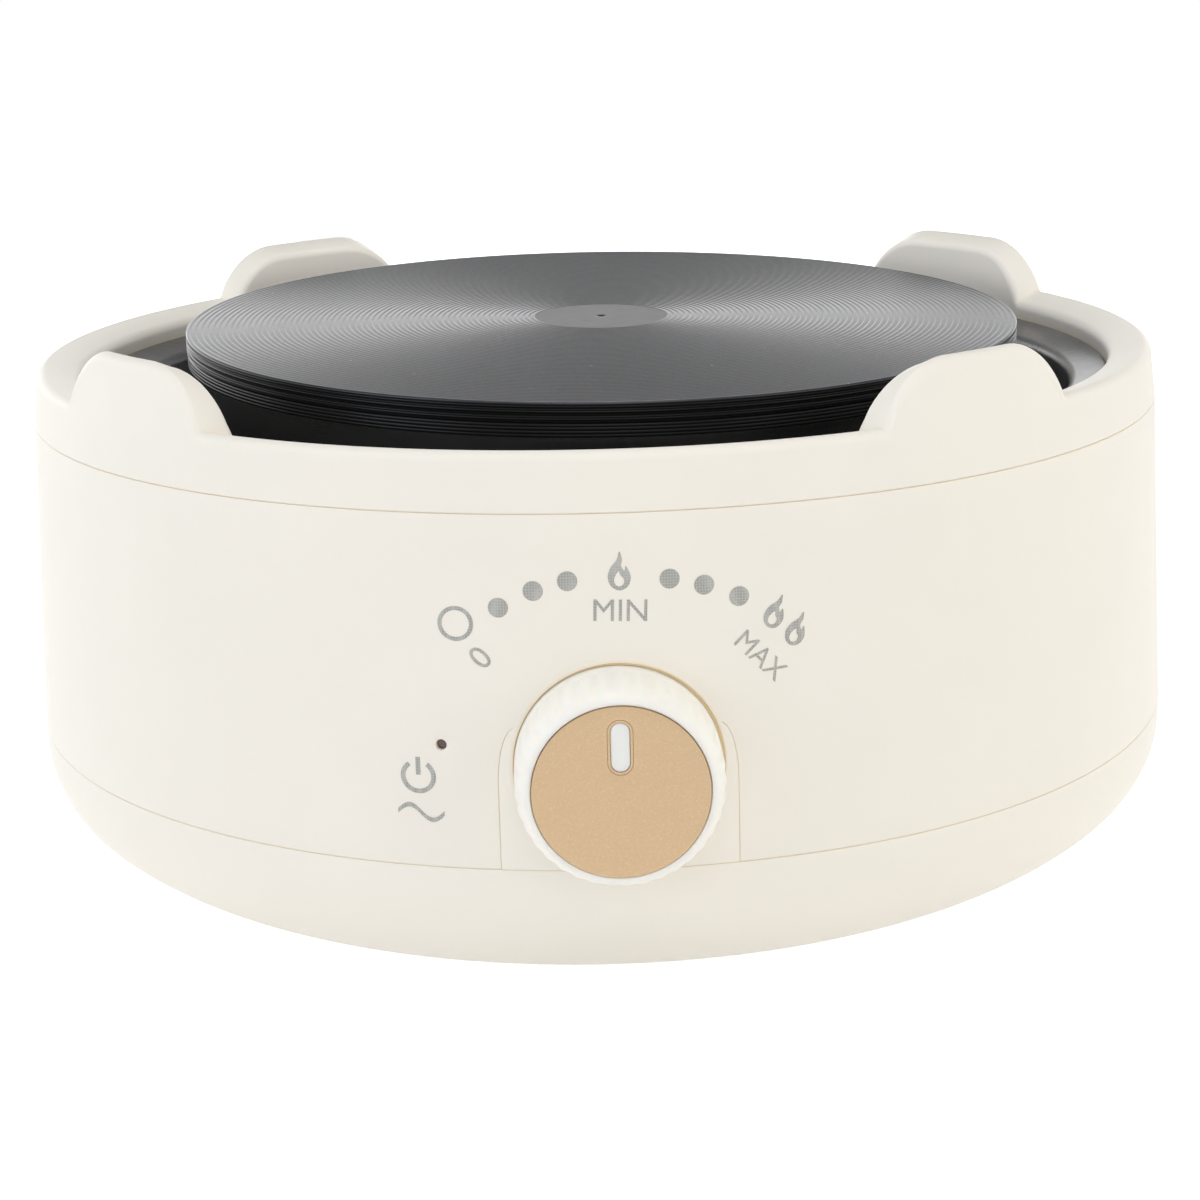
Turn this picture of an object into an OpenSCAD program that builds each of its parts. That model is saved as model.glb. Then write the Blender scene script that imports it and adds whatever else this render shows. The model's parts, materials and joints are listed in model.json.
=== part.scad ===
// Portable hot plate: a round cream body with four pan guards on its top ring, a ridged cast
// plate in a dark bowl, a thermostat with a turning knob, and all that carries and feeds them.
// Origin on the axis, on the plane that the feet stand on. +Z is up and the knob faces -Y.

/* [Body] */
// Outer radius of the body at the seam under the top ring
body_top_r = 91; // [89:0.5:96]
// Widening of the body from that seam down to the seam over the base
body_flare = 2.1; // [1:0.1:5]
// Height of the main shell between its two seams
shell_h = 49.3; // [47:0.1:58]
// Height of the base from its flat bottom to its seam
base_h = 21.5; // [20:0.5:27]
// Width over which the base's corner rounds in to its flat bottom
base_corner_w = 25.3; // [22:0.1:28]
// Height over which the base's corner rounds up into its side
base_corner_h = 18.8; // [17:0.1:19.5]
// Radius of the base's corner where it meets the side
base_side_r = 15; // [13:0.5:16]
// Thickness of the moulded walls
wall = 2.4; // [2:0.1:2.8]
// Clearance between moulded pieces that fit into each other
fit_gap = 0.15; // [0.1:0.05:0.3]

/* [Top ring] */
// Height of the rim's crown over the seam under the top ring
ring_h = 8.2; // [6.8:0.1:10]
// Step from the body's side in to the rim's inner wall
rim_w = 7.6; // [6.8:0.1:8.5]
// Lean of the ring's side up to its top rounding
rim_lean = 0.8; // [0.2:0.1:1.4]
// Radius of the rim's outer rounding
rim_round = 1.6; // [1:0.1:2.4]
// Radius of the rim's inner rounding
rim_inner_round = 1.2; // [0.6:0.1:1.6]
// Fall of the rim's and the ears' tops towards the inside
top_fall = 1.2; // [0.4:0.1:1.6]
// Height of the ears over the rim
ear_h = 8.6; // [7:0.1:12]
// Half width of an ear at the rim
ear_half_w = 18.4; // [16:0.1:23]
// Radius of an ear's shoulders
ear_arc_r = 15.2; // [13:0.2:16]
// Lean of the ears' outer side over the rim
ear_lean = 1.5; // [0.7:0.1:2.2]
// Rounding of an ear's top edges
ear_round = 1.4; // [0.5:0.1:1.6]
// Angle from the front to the first ear
ear_turn = 37.2; // [30:0.2:45]
// Depth of the bowl's ledge under the rim
ledge_drop = 4.8; // [4.2:0.1:5.5]
// Width of the bowl's ledge
ledge_w = 2.5; // [2:0.1:2.8]

/* [Bowl] */
// Step from the rim's inner wall in to the bowl's upright wall
bowl_inset = 8.9; // [7.4:0.1:11.4]
// Width of the bowl's flat flange
flange_w = 2.6; // [2.6:0.1:3.2]
// Depth of the bowl from its flange to its floor
bowl_depth = 17.5; // [16:0.5:19]
// Radius between the bowl's wall and floor
bowl_floor_round = 3; // [2:0.5:5]
// Thickness of the pressed sheet of the bowl and the backing pan
sheet = 0.8; // [0.6:0.1:1]

/* [Plate] */
// Gap between the cast plate and the bowl's upright wall
plate_moat = 6.8; // [4.5:0.1:10.5]
// Height of the plate's top over the rim
plate_rise = 3.7; // [2.5:0.1:5.5]
// Thickness of the cast plate
plate_t = 10; // [9:0.5:11]
// Height of the grooved band on the plate's edge
edge_h = 3; // [2.5:0.1:4]
// Number of grooves on the plate's edge
edge_grooves = 4; // [2:1:6]
// Height of the plain lip under the grooved band
lip_h = 2.1; // [1.5:0.1:2.5]
// Step from the grooved band in to the lip
lip_inset = 0.5; // [0.2:0.1:1]
// Step from the plate's edge in to the boss under it
boss_inset = 3.3; // [2.5:0.1:5]
// Radius of the sunken middle of the plate
recess_r = 10.9; // [8:0.1:14]
// Depth of the sunken middle
recess_d = 0.4; // [0.2:0.1:0.8]
// Radius of the element's ring at the middle of its tube
element_ring_r = 42; // [36:0.5:46]
// Radius of the element's tube
element_tube_r = 3.3; // [2.8:0.1:3.5]
// Thickness of the insulation disc
insulation_t = 4.7; // [4:0.1:5.5]

/* [Carrier] */
// Radius of the centre stud
stud_r = 3; // [2.5:0.5:4]
// Width of the support bridge
bridge_w = 22; // [18:0.5:26]
// Thickness of the bridge and the thermostat bracket
bracket_t = 1.5; // [1:0.1:2]
// Distance of the bridge's posts from the body's side
bridge_post_in = 11; // [10:0.5:12.5]
// Radius of a screw's shank
screw_r = 1.5; // [1.2:0.1:1.7]
// Distance of the feet and the base screws from the flat bottom's edge
foot_in = 9.8; // [8.8:0.1:13.8]
// Radius of a foot
foot_r = 7; // [6:0.5:8]
// Height of the feet under the base
feet_h = 3; // [2:0.5:5]

/* [Knob] */
// Height of the knob's axis over the base's seam
knob_rise = 14.5; // [14:0.1:18]
// Outer radius of the knob
knob_r = 14.1; // [12:0.1:14.5]
// Gap between the knob and the hole in its panel
knob_gap = 0.77; // [0.5:0.01:1]
// Land of the panel beside the knob's hole
panel_land = 1.43; // [1.2:0.01:2]
// Height of the panel's horns over the knob's axis
horn_rise = 3.5; // [2:0.5:6]
// Distance of the knob's cap in front of the body
knob_proud = 10.4; // [9:0.1:13]
// Depth of the knob's skirt behind its front
skirt_depth = 15; // [11.5:0.5:16]
// Depth of the rounding from the knob's front back to its fluted side
shoulder_depth = 4; // [2:0.1:6]
// Number of flutes round the knob
knob_flutes = 28; // [20:1:36]
// Radius of the cap on the knob
cap_r = 11.84; // [10:0.01:12]
// Thickness of the cap
cap_t = 1; // [0.8:0.1:1.4]
// Radius of the thermostat's spindle
spindle_r = 3; // [2.5:0.1:3.2]
// Turn of the knob from the middle to either end
knob_turn = 50; // [30:1:60]

/* [Rear and indicator] */
// Height of the cord gland over the base's seam
gland_rise = 14; // [13:0.5:18]
// Radius of the gland's bore
gland_bore_r = 3.6; // [3:0.1:4]
// Angle from the front to the indicator, to the left
lamp_turn = 15; // [14:0.5:20]
// Height of the indicator over the base's seam
lamp_rise = 17.4; // [15:0.1:22]
// Radius of the indicator's hole
lamp_hole_r = 0.75; // [0.6:0.05:1.2]

/* [Hidden] */
$fn = 64;

// Amount by which a cut runs past the faces it cuts
past = 1;
// Amount by which joined shapes of one piece overlap
weld = 0.4;
// Clearance of pins, screws and shafts in their holes
pin_gap = 0.05;

cream = [0.93, 0.92, 0.88];
black_enamel = [0.08, 0.08, 0.09];
cast_grey = [0.35, 0.35, 0.38];
steel = [0.7, 0.71, 0.72];
ceramic = [0.9, 0.88, 0.82];
brass = [0.78, 0.62, 0.32];
gold = [0.82, 0.68, 0.52];

// Radii and distances that follow from the body's side
body_low_r = body_top_r + body_flare;
base_flat_r = body_low_r - base_corner_w;
rim_inner_r = body_top_r - rim_w;
rim_outer_r = body_top_r - rim_lean;
ear_top_r = rim_outer_r - ear_lean;
bowl_r = rim_inner_r - bowl_inset;
plate_r = bowl_r - plate_moat;
bridge_post_x = body_top_r - bridge_post_in;
foot_pos_r = base_flat_r - foot_in;

// Heights of the seams and levels
z_base = feet_h;
z_low = z_base + base_h;
z_top = z_low + shell_h;
z_rim = z_top + ring_h;
z_ear = z_rim + ear_h;
z_plate = z_rim + plate_rise;
z_plate_low = z_plate - plate_t;
z_lip = z_plate - edge_h - lip_h;
z_ledge = z_rim - ledge_drop;
z_flange = z_ledge + sheet;
z_bowl = z_flange - bowl_depth;
z_bowl_low = z_bowl - sheet;
z_bridge = z_bowl_low - bracket_t;
z_pan = z_plate_low - insulation_t;
z_pan_low = z_pan - sheet;
z_knob = z_low + knob_rise;
z_gland = z_low + gland_rise;
z_lamp = z_low + lamp_rise;
z_floor = z_base + wall;

// Points of an arc round a centre, from one angle to another
function arc(centre, r, from, to, steps = 8) =
    [for (i = [0 : steps]) let (a = from + (to - from) * i / steps) centre + r * [cos(a), sin(a)]];
// Points of an arc of an ellipse round a centre
function oval(centre, half, from, to, steps = 8) =
    [for (i = [0 : steps]) let (a = from + (to - from) * i / steps)
        centre + [half.x * cos(a), half.y * sin(a)]];
// Outer radius of the main shell at a height
function shell_r(z) = body_low_r + (body_top_r - body_low_r) * (z - z_low) / shell_h;
// Points of a piece's section, turned about the axis
module turned(points) { rotate_extrude() polygon(points); }
// A frame whose Z points outwards at an angle from the front, and whose Y is up
module outward(turn, z) { rotate([0, 0, turn]) translate([0, 0, z]) rotate([90, 0, 0]) children(); }
module on_knob_axis() { outward(0, z_knob) children(); }
// Four copies round the axis, between the front, the sides and the back
module four_times(radius) {
    for (k = [0 : 3]) rotate([0, 0, 45 + 90 * k]) translate([0, -radius, 0]) children();
}
// Two copies, one at each side of the middle
module both_sides(x, y = 0) { for (side = [-1, 1]) translate([side * x, y, 0]) children(); }
// A solid that runs forwards from inside the body through the shell, with an outline seen from the front
module through_front(reach = body_low_r) {
    on_knob_axis() translate([0, 0, body_top_r / 2]) linear_extrude(reach) children();
}
// A tube between two heights
module tube(r_out, r_in, z0, z1) {
    difference() {
        translate([0, 0, z0]) cylinder(r = r_out, h = z1 - z0);
        translate([0, 0, z0 - past]) cylinder(r = r_in, h = z1 - z0 + 2 * past);
    }
}
module rod(r, z0, z1) { translate([0, 0, z0]) cylinder(r = r, h = z1 - z0); }
// A box between two corners
module block(low, high) { translate(low) cube(high - low); }
// A pan-head screw along Z: its head starts at z_seat and its shank runs the other way
module screw(z_seat, length, side, shank_r = screw_r) {
    head_r = 1.85 * shank_r;
    head_h = 1.3 * shank_r;
    slot_half = 0.25 * shank_r;
    slot_reach = 0.7 * head_r;
    z_slot = 0.6 * head_h;
    translate([0, 0, z_seat]) mirror([0, 0, side > 0 ? 0 : 1]) difference() {
        union() {
            rod(head_r, 0, head_h);
            rod(shank_r, -length, weld);
        }
        for (turn = [0, 90]) rotate([0, 0, turn])
            block([-slot_reach, -slot_half, z_slot], [slot_reach, slot_half, head_h + past]);
    }
}

// Main shell, its bosses, and the notch for the knob's panel
panel_hole_r = knob_r + knob_gap;
panel_r = panel_hole_r + panel_land;
boss_r = 4.2;
boss_pos_r = foot_pos_r;
boss_h = 16;
z_boss = z_low + 5.5;
boss_roof = 3;
web_t = 2.4;
post_r = 4.5;
post_h = 13;
post_floor = 2;
lug_pos_r = rim_inner_r - 0.5;
lug_t = 3;
z_lug = z_top - 12;
lamp_socket_r = 3.2;
lamp_socket_wall = 1.2;
lamp_socket_len = 12;
gland_neck_r = gland_bore_r + 2.3;
shell_inner_lamp_r = shell_r(z_lamp) - wall;

// Outline of the panel as seen from the front, round below and straight at its horns, grown by a margin
module panel_outline(grow) {
    half = panel_r + grow;
    intersection() {
        circle(r = half);
        translate([-half, -half]) square([2 * half, half - knob_rise + weld]);
    }
    translate([-half, -knob_rise]) square([2 * half, knob_rise + horn_rise + grow]);
}

module shell_wall() {
    turned([[body_low_r - wall, z_low], [body_low_r, z_low],
            [body_top_r, z_top], [body_top_r - wall, z_top]]);
}

module main_shell() color(cream) difference() {
    union() {
        shell_wall();
        four_times(boss_pos_r) {
            rod(boss_r, z_boss, z_boss + boss_h);
            block([-web_t / 2, boss_pos_r - shell_r(z_boss + boss_h) + wall - weld, z_boss],
                  [web_t / 2, 0, z_boss + boss_h]);
        }
        four_times(lug_pos_r) {
            rod(boss_r, z_lug - lug_t, z_lug);
            block([-boss_r, lug_pos_r - shell_r(z_lug) + wall - weld, z_lug - lug_t],
                  [boss_r, 0, z_lug]);
        }
        for (turn = [0, 180]) rotate([0, 0, turn]) bridge_post();
        outward(-lamp_turn, z_lamp) rod(lamp_socket_r + lamp_socket_wall,
            shell_inner_lamp_r - lamp_socket_len, shell_inner_lamp_r + weld);
    }
    through_front() {
        panel_outline(0);
        circle(r = panel_hole_r);
    }
    outward(-lamp_turn, z_lamp) {
        rod(lamp_hole_r, body_top_r / 2, body_low_r + past);
        rod(lamp_socket_r, body_top_r / 2, shell_inner_lamp_r);
    }
    outward(180, z_gland) rod(gland_neck_r + fit_gap, body_top_r / 2, body_low_r + past);
    four_times(boss_pos_r) rod(screw_r + pin_gap, z_boss - past, z_boss + boss_h - boss_roof);
    four_times(lug_pos_r) rod(screw_r + pin_gap, z_lug - lug_t - past, z_lug + past);
    both_sides(bridge_post_x) rod(screw_r + pin_gap, z_bridge - post_h + post_floor, z_bridge + past);
}

module bridge_post() {
    translate([bridge_post_x, 0, 0]) rod(post_r, z_bridge - post_h, z_bridge);
    block([bridge_post_x, -post_r, z_bridge - post_h],
          [shell_r(z_bridge) - wall + weld, post_r, z_bridge]);
}

// Top ring: rim, ledge, skirt, screw posts and four ears
skirt_h = 4;
skirt_t = 2.2;
skirt_r = body_top_r - wall - fit_gap;
ledge_r = rim_inner_r - ledge_w;
ledge_t = 2.2;
ring_post_r = 3.4;
ring_post_weld = 1;
ring_screw_len = 9;
z_ring_hole = z_ledge - 5;
z_ear_root = z_rim - top_fall - rim_inner_round;
ear_start = asin((ear_arc_r - ear_h) / ear_arc_r);
ear_flat = ear_half_w - ear_arc_r * cos(ear_start);

module rim_section() {
    polygon(concat(
        [[skirt_r - skirt_t, z_top - skirt_h], [skirt_r, z_top - skirt_h],
         [skirt_r, z_top], [body_top_r, z_top]],
        arc([rim_outer_r - rim_round, z_rim - rim_round], rim_round, 0, 90),
        arc([rim_inner_r + rim_inner_round, z_ear_root], rim_inner_round, 90, 180),
        [[rim_inner_r, z_ledge], [ledge_r, z_ledge], [ledge_r, z_ledge - ledge_t],
         [skirt_r - skirt_t, z_ledge - ledge_t - ledge_w]]));
}

module ear_section() {
    polygon(concat(
        [[rim_inner_r, z_ear_root], [rim_outer_r, z_rim - rim_round]],
        arc([ear_top_r - ear_round, z_ear - ear_round], ear_round, 0, 90, 6),
        arc([rim_inner_r + ear_round, z_ear - top_fall - ear_round], ear_round, 90, 180, 6)));
}

module ear_outline() {
    polygon(concat(
        [[-ear_half_w, z_ear_root - past], [ear_half_w, z_ear_root - past]],
        arc([ear_flat, z_ear - ear_arc_r], ear_arc_r, ear_start, 90),
        arc([-ear_flat, z_ear - ear_arc_r], ear_arc_r, 90, 180 - ear_start)));
}

module top_ring() color(cream) difference() {
    union() {
        rotate_extrude() rim_section();
        intersection() {
            rotate_extrude() ear_section();
            for (k = [0 : 3]) outward(ear_turn + 90 * k, 0)
                translate([0, 0, body_top_r / 2]) linear_extrude(body_top_r) ear_outline();
        }
        four_times(lug_pos_r) rod(ring_post_r, z_lug, z_ledge - ring_post_weld);
    }
    four_times(lug_pos_r) rod(screw_r + pin_gap, z_lug - past, z_ring_hole);
}

// Base pan: rounded tray with a tongue into the shell, screw wells, foot recesses and vents
base_low_r = (base_corner_h ^ 2 + (base_corner_w - base_side_r) ^ 2 - base_side_r ^ 2)
             / (2 * (base_corner_h - base_side_r));
base_blend = atan2(base_corner_h - base_low_r, base_corner_w - base_side_r);
tongue_h = 3;
tongue_t = 1.6;
tongue_r = shell_r(z_low + tongue_h) - wall - fit_gap;
tongue_root = 3;
foot_sink = 1.5;
well_r = 2.45 * screw_r;
well_wall_r = boss_r + 0.8;
well_floor = 3;
pad_r = foot_r + 2.2;
pad_h = 3.9;
vent_count = 8;
vent_from = 22;
vent_to = 42;
vent_r = 2;

function base_side(inset) = concat(
    arc([base_flat_r, z_base + base_low_r], base_low_r - inset, -90, base_blend),
    arc([body_low_r - base_side_r, z_base + base_corner_h], base_side_r - inset, base_blend, 0),
    [[body_low_r - inset, z_low]]);
function backwards(list) = [for (i = [len(list) - 1 : -1 : 0]) list[i]];

module base_pan() color(cream) difference() {
    union() {
        turned(concat([[0, z_base]], base_side(0), backwards(base_side(wall)), [[0, z_floor]]));
        difference() {
            turned([[tongue_r - tongue_t, z_low + tongue_h], [tongue_r - tongue_t, z_low - tongue_root],
                    [body_low_r - wall + weld, z_low - tongue_root], [body_low_r - wall + weld, z_low],
                    [tongue_r, z_low], [tongue_r, z_low + tongue_h]]);
            through_front(body_low_r - wall + weld / 2 - body_top_r / 2)
                panel_outline(panel_flange + 2 * fit_gap);
        }
        four_times(boss_pos_r) {
            rod(well_wall_r, z_base, z_boss);
            rod(pad_r, z_base, z_base + pad_h);
        }
        both_sides(block_screw_x, block_y) rod(boss_r, z_base, z_block);
    }
    through_front() circle(r = panel_r);
    four_times(boss_pos_r) {
        rod(screw_r + pin_gap, z_base - past, z_boss + past);
        rod(well_r, z_base - past, z_boss - well_floor);
        rod(foot_r + fit_gap, z_base - past, z_base + foot_sink);
    }
    both_sides(block_screw_x, block_y) rod(block_screw_r + pin_gap, z_floor, z_block + past);
    for (k = [0 : vent_count - 1]) rotate([0, 0, (k + 0.5) * 360 / vent_count]) {
        block([vent_from, -vent_r, z_base - past], [vent_to, vent_r, z_floor + past]);
        for (x = [vent_from, vent_to]) translate([x, 0, 0]) rod(vent_r, z_base - past, z_floor + past);
    }
}

// Panel in the lower part of the shell's notch, with two horns and a flange behind the shell
panel_flange = 2.2;
flange_t = 1.5;

module knob_panel() color(cream) difference() {
    union() {
        intersection() {
            panel_ring(z_low - panel_r, wall + flange_t / 2, 0);
            through_front() panel_outline(-fit_gap);
        }
        intersection() {
            panel_ring(z_low + fit_gap, wall + flange_t, wall + pin_gap);
            through_front() panel_outline(panel_flange);
        }
    }
    on_knob_axis() rod(panel_hole_r, body_top_r / 2, body_low_r + past);
}

// A ring that follows the shell's taper from a height up, between two depths under its surface
module panel_ring(z0, deep, shallow) {
    z1 = z_knob + 2 * panel_r;
    turned([[shell_r(z0) - deep, z0], [shell_r(z0) - shallow, z0],
            [shell_r(z1) - shallow, z1], [shell_r(z1) - deep, z1]]);
}

// Bowl: flange, rolled shoulder, upright wall and a floor with holes
flange_r = rim_inner_r - 2 * fit_gap;
shoulder_r = flange_r - flange_w - bowl_r;

module drip_bowl() color(black_enamel) difference() {
    turned(concat(
        [[0, z_bowl_low]],
        arc([bowl_r - bowl_floor_round, z_bowl + bowl_floor_round], bowl_floor_round + sheet, -90, 0),
        arc([bowl_r + shoulder_r, z_flange - shoulder_r], shoulder_r - sheet, 180, 90),
        [[flange_r, z_ledge], [flange_r, z_flange]],
        arc([bowl_r + shoulder_r, z_flange - shoulder_r], shoulder_r, 90, 180),
        arc([bowl_r - bowl_floor_round, z_bowl + bowl_floor_round], bowl_floor_round, 0, -90),
        [[0, z_bowl]]));
    rod(stud_r + pin_gap, z_bowl_low - past, z_bowl + past);
    at_element_ends() rod(insulator_neck_r + fit_gap, z_bowl_low - past, z_bowl + past);
    at_bracket_screws() rod(screw_r + pin_gap, z_bowl_low - past, z_bowl + past);
}

// Cast plate with a sunken middle, a grooved edge, a lip, and a groove for the element under it
groove_play = 0.4;
groove_half = element_tube_r + groove_play;
groove_d = 2 * element_tube_r + groove_play;
plate_boss_r = plate_r - boss_inset;
edge_pitch = edge_h / (edge_grooves + 0.5);
edge_cut = 0.25;
plate_bevel = 0.3;
stud_sink = 5;
stud_play = 0.5;
z_edge = z_lip + lip_h;

module heating_plate() color(cast_grey) difference() {
    turned(concat(
        [[0, z_plate_low], [plate_boss_r, z_plate_low], [plate_boss_r, z_lip],
         [plate_r - lip_inset, z_lip], [plate_r - lip_inset, z_edge]],
        [for (k = [0 : edge_grooves - 1]) each [
            [plate_r, z_edge + (k + 0.25) * edge_pitch],
            [plate_r - edge_cut, z_edge + (k + 0.6) * edge_pitch],
            [plate_r, z_edge + (k + 0.95) * edge_pitch]]],
        [[plate_r, z_plate - plate_bevel], [plate_r - plate_bevel, z_plate],
         [recess_r + recess_d, z_plate], [recess_r, z_plate - recess_d], [0, z_plate - recess_d]]));
    tube(element_ring_r + groove_half, element_ring_r - groove_half,
         z_plate_low - past, z_plate_low + groove_d);
    rod(stud_r + pin_gap, z_plate_low - past, z_plate_low + stud_sink + stud_play);
}

// Tubular element: an open ring with two ends that turn down at the back
element_gap_turn = 15;
z_element = z_plate_low + groove_d - element_tube_r - 0.2;
element_leg_r = element_tube_r + 0.2;
z_leg_top = z_element + element_tube_r + 0.1;
leg_pin_r = 1.2;
insulator_neck_r = 4.2;
insulator_flange_r = 6;
insulator_flange_t = 2.5;
insulator_low = 3.5;
insulator_high = 5.5;
z_leg = z_bowl + insulator_high;
z_pin = z_bridge - 10;

module at_element_ends() {
    for (side = [-1, 1]) rotate([0, 0, side * element_gap_turn])
        translate([0, element_ring_r, 0]) children();
}

module heating_element() color([0.3, 0.28, 0.27]) union() {
    translate([0, 0, z_element]) rotate([0, 0, 90 + element_gap_turn])
        rotate_extrude(angle = 360 - 2 * element_gap_turn)
            translate([element_ring_r, 0]) circle(r = element_tube_r);
    at_element_ends() {
        rod(element_leg_r, z_leg, z_leg_top);
        rod(leg_pin_r, z_pin, z_leg + weld);
    }
}

module element_insulators() color(ceramic) at_element_ends() difference() {
    union() {
        rod(insulator_neck_r, z_bowl_low - insulator_low, z_leg);
        rod(insulator_flange_r, z_bowl, z_bowl + insulator_flange_t);
    }
    rod(leg_pin_r + pin_gap, z_bowl_low - insulator_low - past, z_leg + past);
}

module insulation_disc() color([0.85, 0.83, 0.76]) difference() {
    rod(plate_boss_r - fit_gap, z_pan, z_plate_low);
    rod(sleeve_r, z_pan - past, z_plate_low + past);
    at_element_ends() rod(element_leg_r + fit_gap, z_pan - past, z_plate_low + past);
}

// Black backing pan: its upright wall shows under the plate's lip
module backing_pan() color(black_enamel) difference() {
    rod(plate_boss_r + fit_gap + sheet, z_pan_low, z_lip - 2 * fit_gap);
    rod(plate_boss_r + fit_gap, z_pan, z_lip + past);
    rod(stud_r + pin_gap, z_pan_low - past, z_pan + past);
    at_element_ends() rod(element_leg_r + fit_gap, z_pan_low - past, z_pan + past);
}

// Centre stud through the stack, its sleeve, washer and nut
sleeve_r = 7;
washer_r = 7.5;
washer_t = 1.2;
stud_nut_h = 5;
stud_tail = 2;
nut_width_ratio = 1.85;
z_nut = z_bridge - washer_t - stud_nut_h;

module centre_stud() color(steel) rod(stud_r, z_nut - stud_tail, z_plate_low + stud_sink);
module spacer_sleeve() color(steel) tube(sleeve_r, stud_r + pin_gap, z_bowl, z_pan_low);
module stud_washer() color(steel) tube(washer_r, stud_r + pin_gap, z_bridge - washer_t, z_bridge);
module hex_nut(hole_r, z0, z1) difference() {
    translate([0, 0, z0]) cylinder(r = hole_r * nut_width_ratio, h = z1 - z0, $fn = 6);
    rod(hole_r + pin_gap, z0 - past, z1 + past);
}
module stud_nut() color(steel) hex_nut(stud_r, z_nut, z_bridge - washer_t);

// Bridge across the shell, under the bowl
bridge_end = 4;
fuse_x = -35;
clip_screw_x = 6;
clip_screw_r = 1.2;
bridge_screw_len = 10;
base_screw_len = 14;
foot_round = 1;

module support_bridge() color(steel) difference() {
    intersection() {
        block([-bridge_post_x - bridge_end, -bridge_w / 2, z_bridge],
              [bridge_post_x + bridge_end, bridge_w / 2, z_bowl_low]);
        rod(bridge_post_x + bridge_end, z_bridge - past, z_bowl_low + past);
    }
    rod(stud_r + pin_gap, z_bridge - past, z_bowl_low + past);
    both_sides(bridge_post_x) rod(screw_r + pin_gap, z_bridge - past, z_bowl_low + past);
    at_clip_screws() rod(clip_screw_r + pin_gap, z_bridge - past, z_bowl_low + past);
}
module at_clip_screws() { translate([fuse_x, 0, 0]) both_sides(clip_screw_x) children(); }

module bridge_screws() color(steel) {
    translate([bridge_post_x, 0, 0]) screw(z_bowl_low, bridge_screw_len, 1);
    translate([-bridge_post_x, 0, 0]) screw(z_bowl_low + tag_t, bridge_screw_len, 1);
}
module ring_screws() color(steel) four_times(lug_pos_r) screw(z_lug - lug_t, ring_screw_len, -1);
module base_screws() color(steel) four_times(boss_pos_r) screw(z_boss - well_floor, base_screw_len, -1);
module feet() color([0.2, 0.2, 0.2]) four_times(boss_pos_r) turned(concat(
    [[0, 0]], arc([foot_r - foot_round, foot_round], foot_round, -90, 0, 4),
    [[foot_r, z_base + foot_sink], [0, z_base + foot_sink]]));

// Thermostat, measured outwards from the body's axis along the knob's axis
cap_raise = 0.15;
t_front = shell_r(z_knob) + knob_proud;
t_face = t_front - cap_raise;
t_recess = t_front - cap_t;
t_bracket = shell_r(z_knob) - 26.5;
t_frame = t_bracket - bracket_t;
frame_t = 1.2;
t_flange = t_frame - frame_t;
bush_r = spindle_r + 2;
bush_flange_r = 7;
bush_flange_t = 1.5;
bush_len = 9;
t_bush = t_bracket + bush_len;
t_stop = t_flange - bush_flange_t;
stop_gap = 0.3;
stop_t = 1.5;
t_pin = t_stop - stop_gap - stop_t;
pin_len = 2.8;
pin_clear = 0.2;
t_front_leaf = t_pin - pin_len - pin_clear;
leaf_t = 0.4;
leaf_pitch = 3;
t_rear_leaf = t_front_leaf - leaf_t - leaf_pitch;
bimetal_pitch = 4;
bimetal_t = 0.8;
t_bimetal = t_rear_leaf - leaf_t - bimetal_pitch;
stack_up = min(13, z_bridge - z_knob - 6);
spacer_r = 5;
rivet_r = 1.8;
rivet_head_r = 3;
rivet_head_t = 1.2;
leaf_w = 8;
leaf_low = -9;
leaf_high = stack_up + 4.5;
tab_len = 10;
tab_half = 2;
contact_r = 1.8;
contact_up = -5;
bracket_half = 14;
bracket_low = -12;
tab_depth = 22;
bracket_screw_x = 9;
bracket_screw_in = 16;
bracket_nut_h = 2.2;
bracket_screw_len = bracket_t + sheet + bracket_nut_h + weld;
bush_nut_h = 3.5;
frame_side = 2;
frame_top = 5;

module at_bracket_screws() { both_sides(bracket_screw_x, bracket_screw_in - t_bracket) children(); }

module thermostat_bracket() color(steel) difference() {
    union() {
        on_knob_axis() block([-bracket_half, bracket_low, t_frame],
                             [bracket_half, z_bowl_low - z_knob, t_bracket]);
        block([-bracket_half, -t_bracket, z_bridge],
              [bracket_half, tab_depth - t_bracket, z_bowl_low]);
    }
    on_knob_axis() {
        rod(bush_r + pin_gap, t_frame - past, t_bracket + past);
        translate([0, stack_up, 0]) rod(rivet_head_r + fit_gap, t_frame - past, t_bracket + past);
    }
    at_bracket_screws() rod(screw_r + pin_gap, z_bridge - past, z_bowl_low + past);
}
module bracket_screws() color(steel) at_bracket_screws() screw(z_bowl, bracket_screw_len, 1);
module bracket_nuts() color(steel) at_bracket_screws()
    hex_nut(screw_r, z_bridge - bracket_nut_h, z_bridge);

module thermostat_frame() color(steel) on_knob_axis() difference() {
    block([-spacer_r - frame_side, -bush_flange_r, t_flange],
          [spacer_r + frame_side, stack_up + frame_top, t_frame]);
    rod(bush_r + pin_gap, t_flange - past, t_frame + past);
    translate([0, stack_up, 0]) rod(rivet_r + pin_gap, t_flange - past, t_frame + past);
}

// The bush's flange carries two lugs that stop the spindle's arm
stop_arm_r = 6.6;
stop_arm_half = 1;
stop_lug_r = 0.9;
stop_lug_pos_r = 5.7;
stop_reach = knob_turn + asin((stop_arm_half + stop_lug_r + stop_gap) / stop_lug_pos_r);

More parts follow.
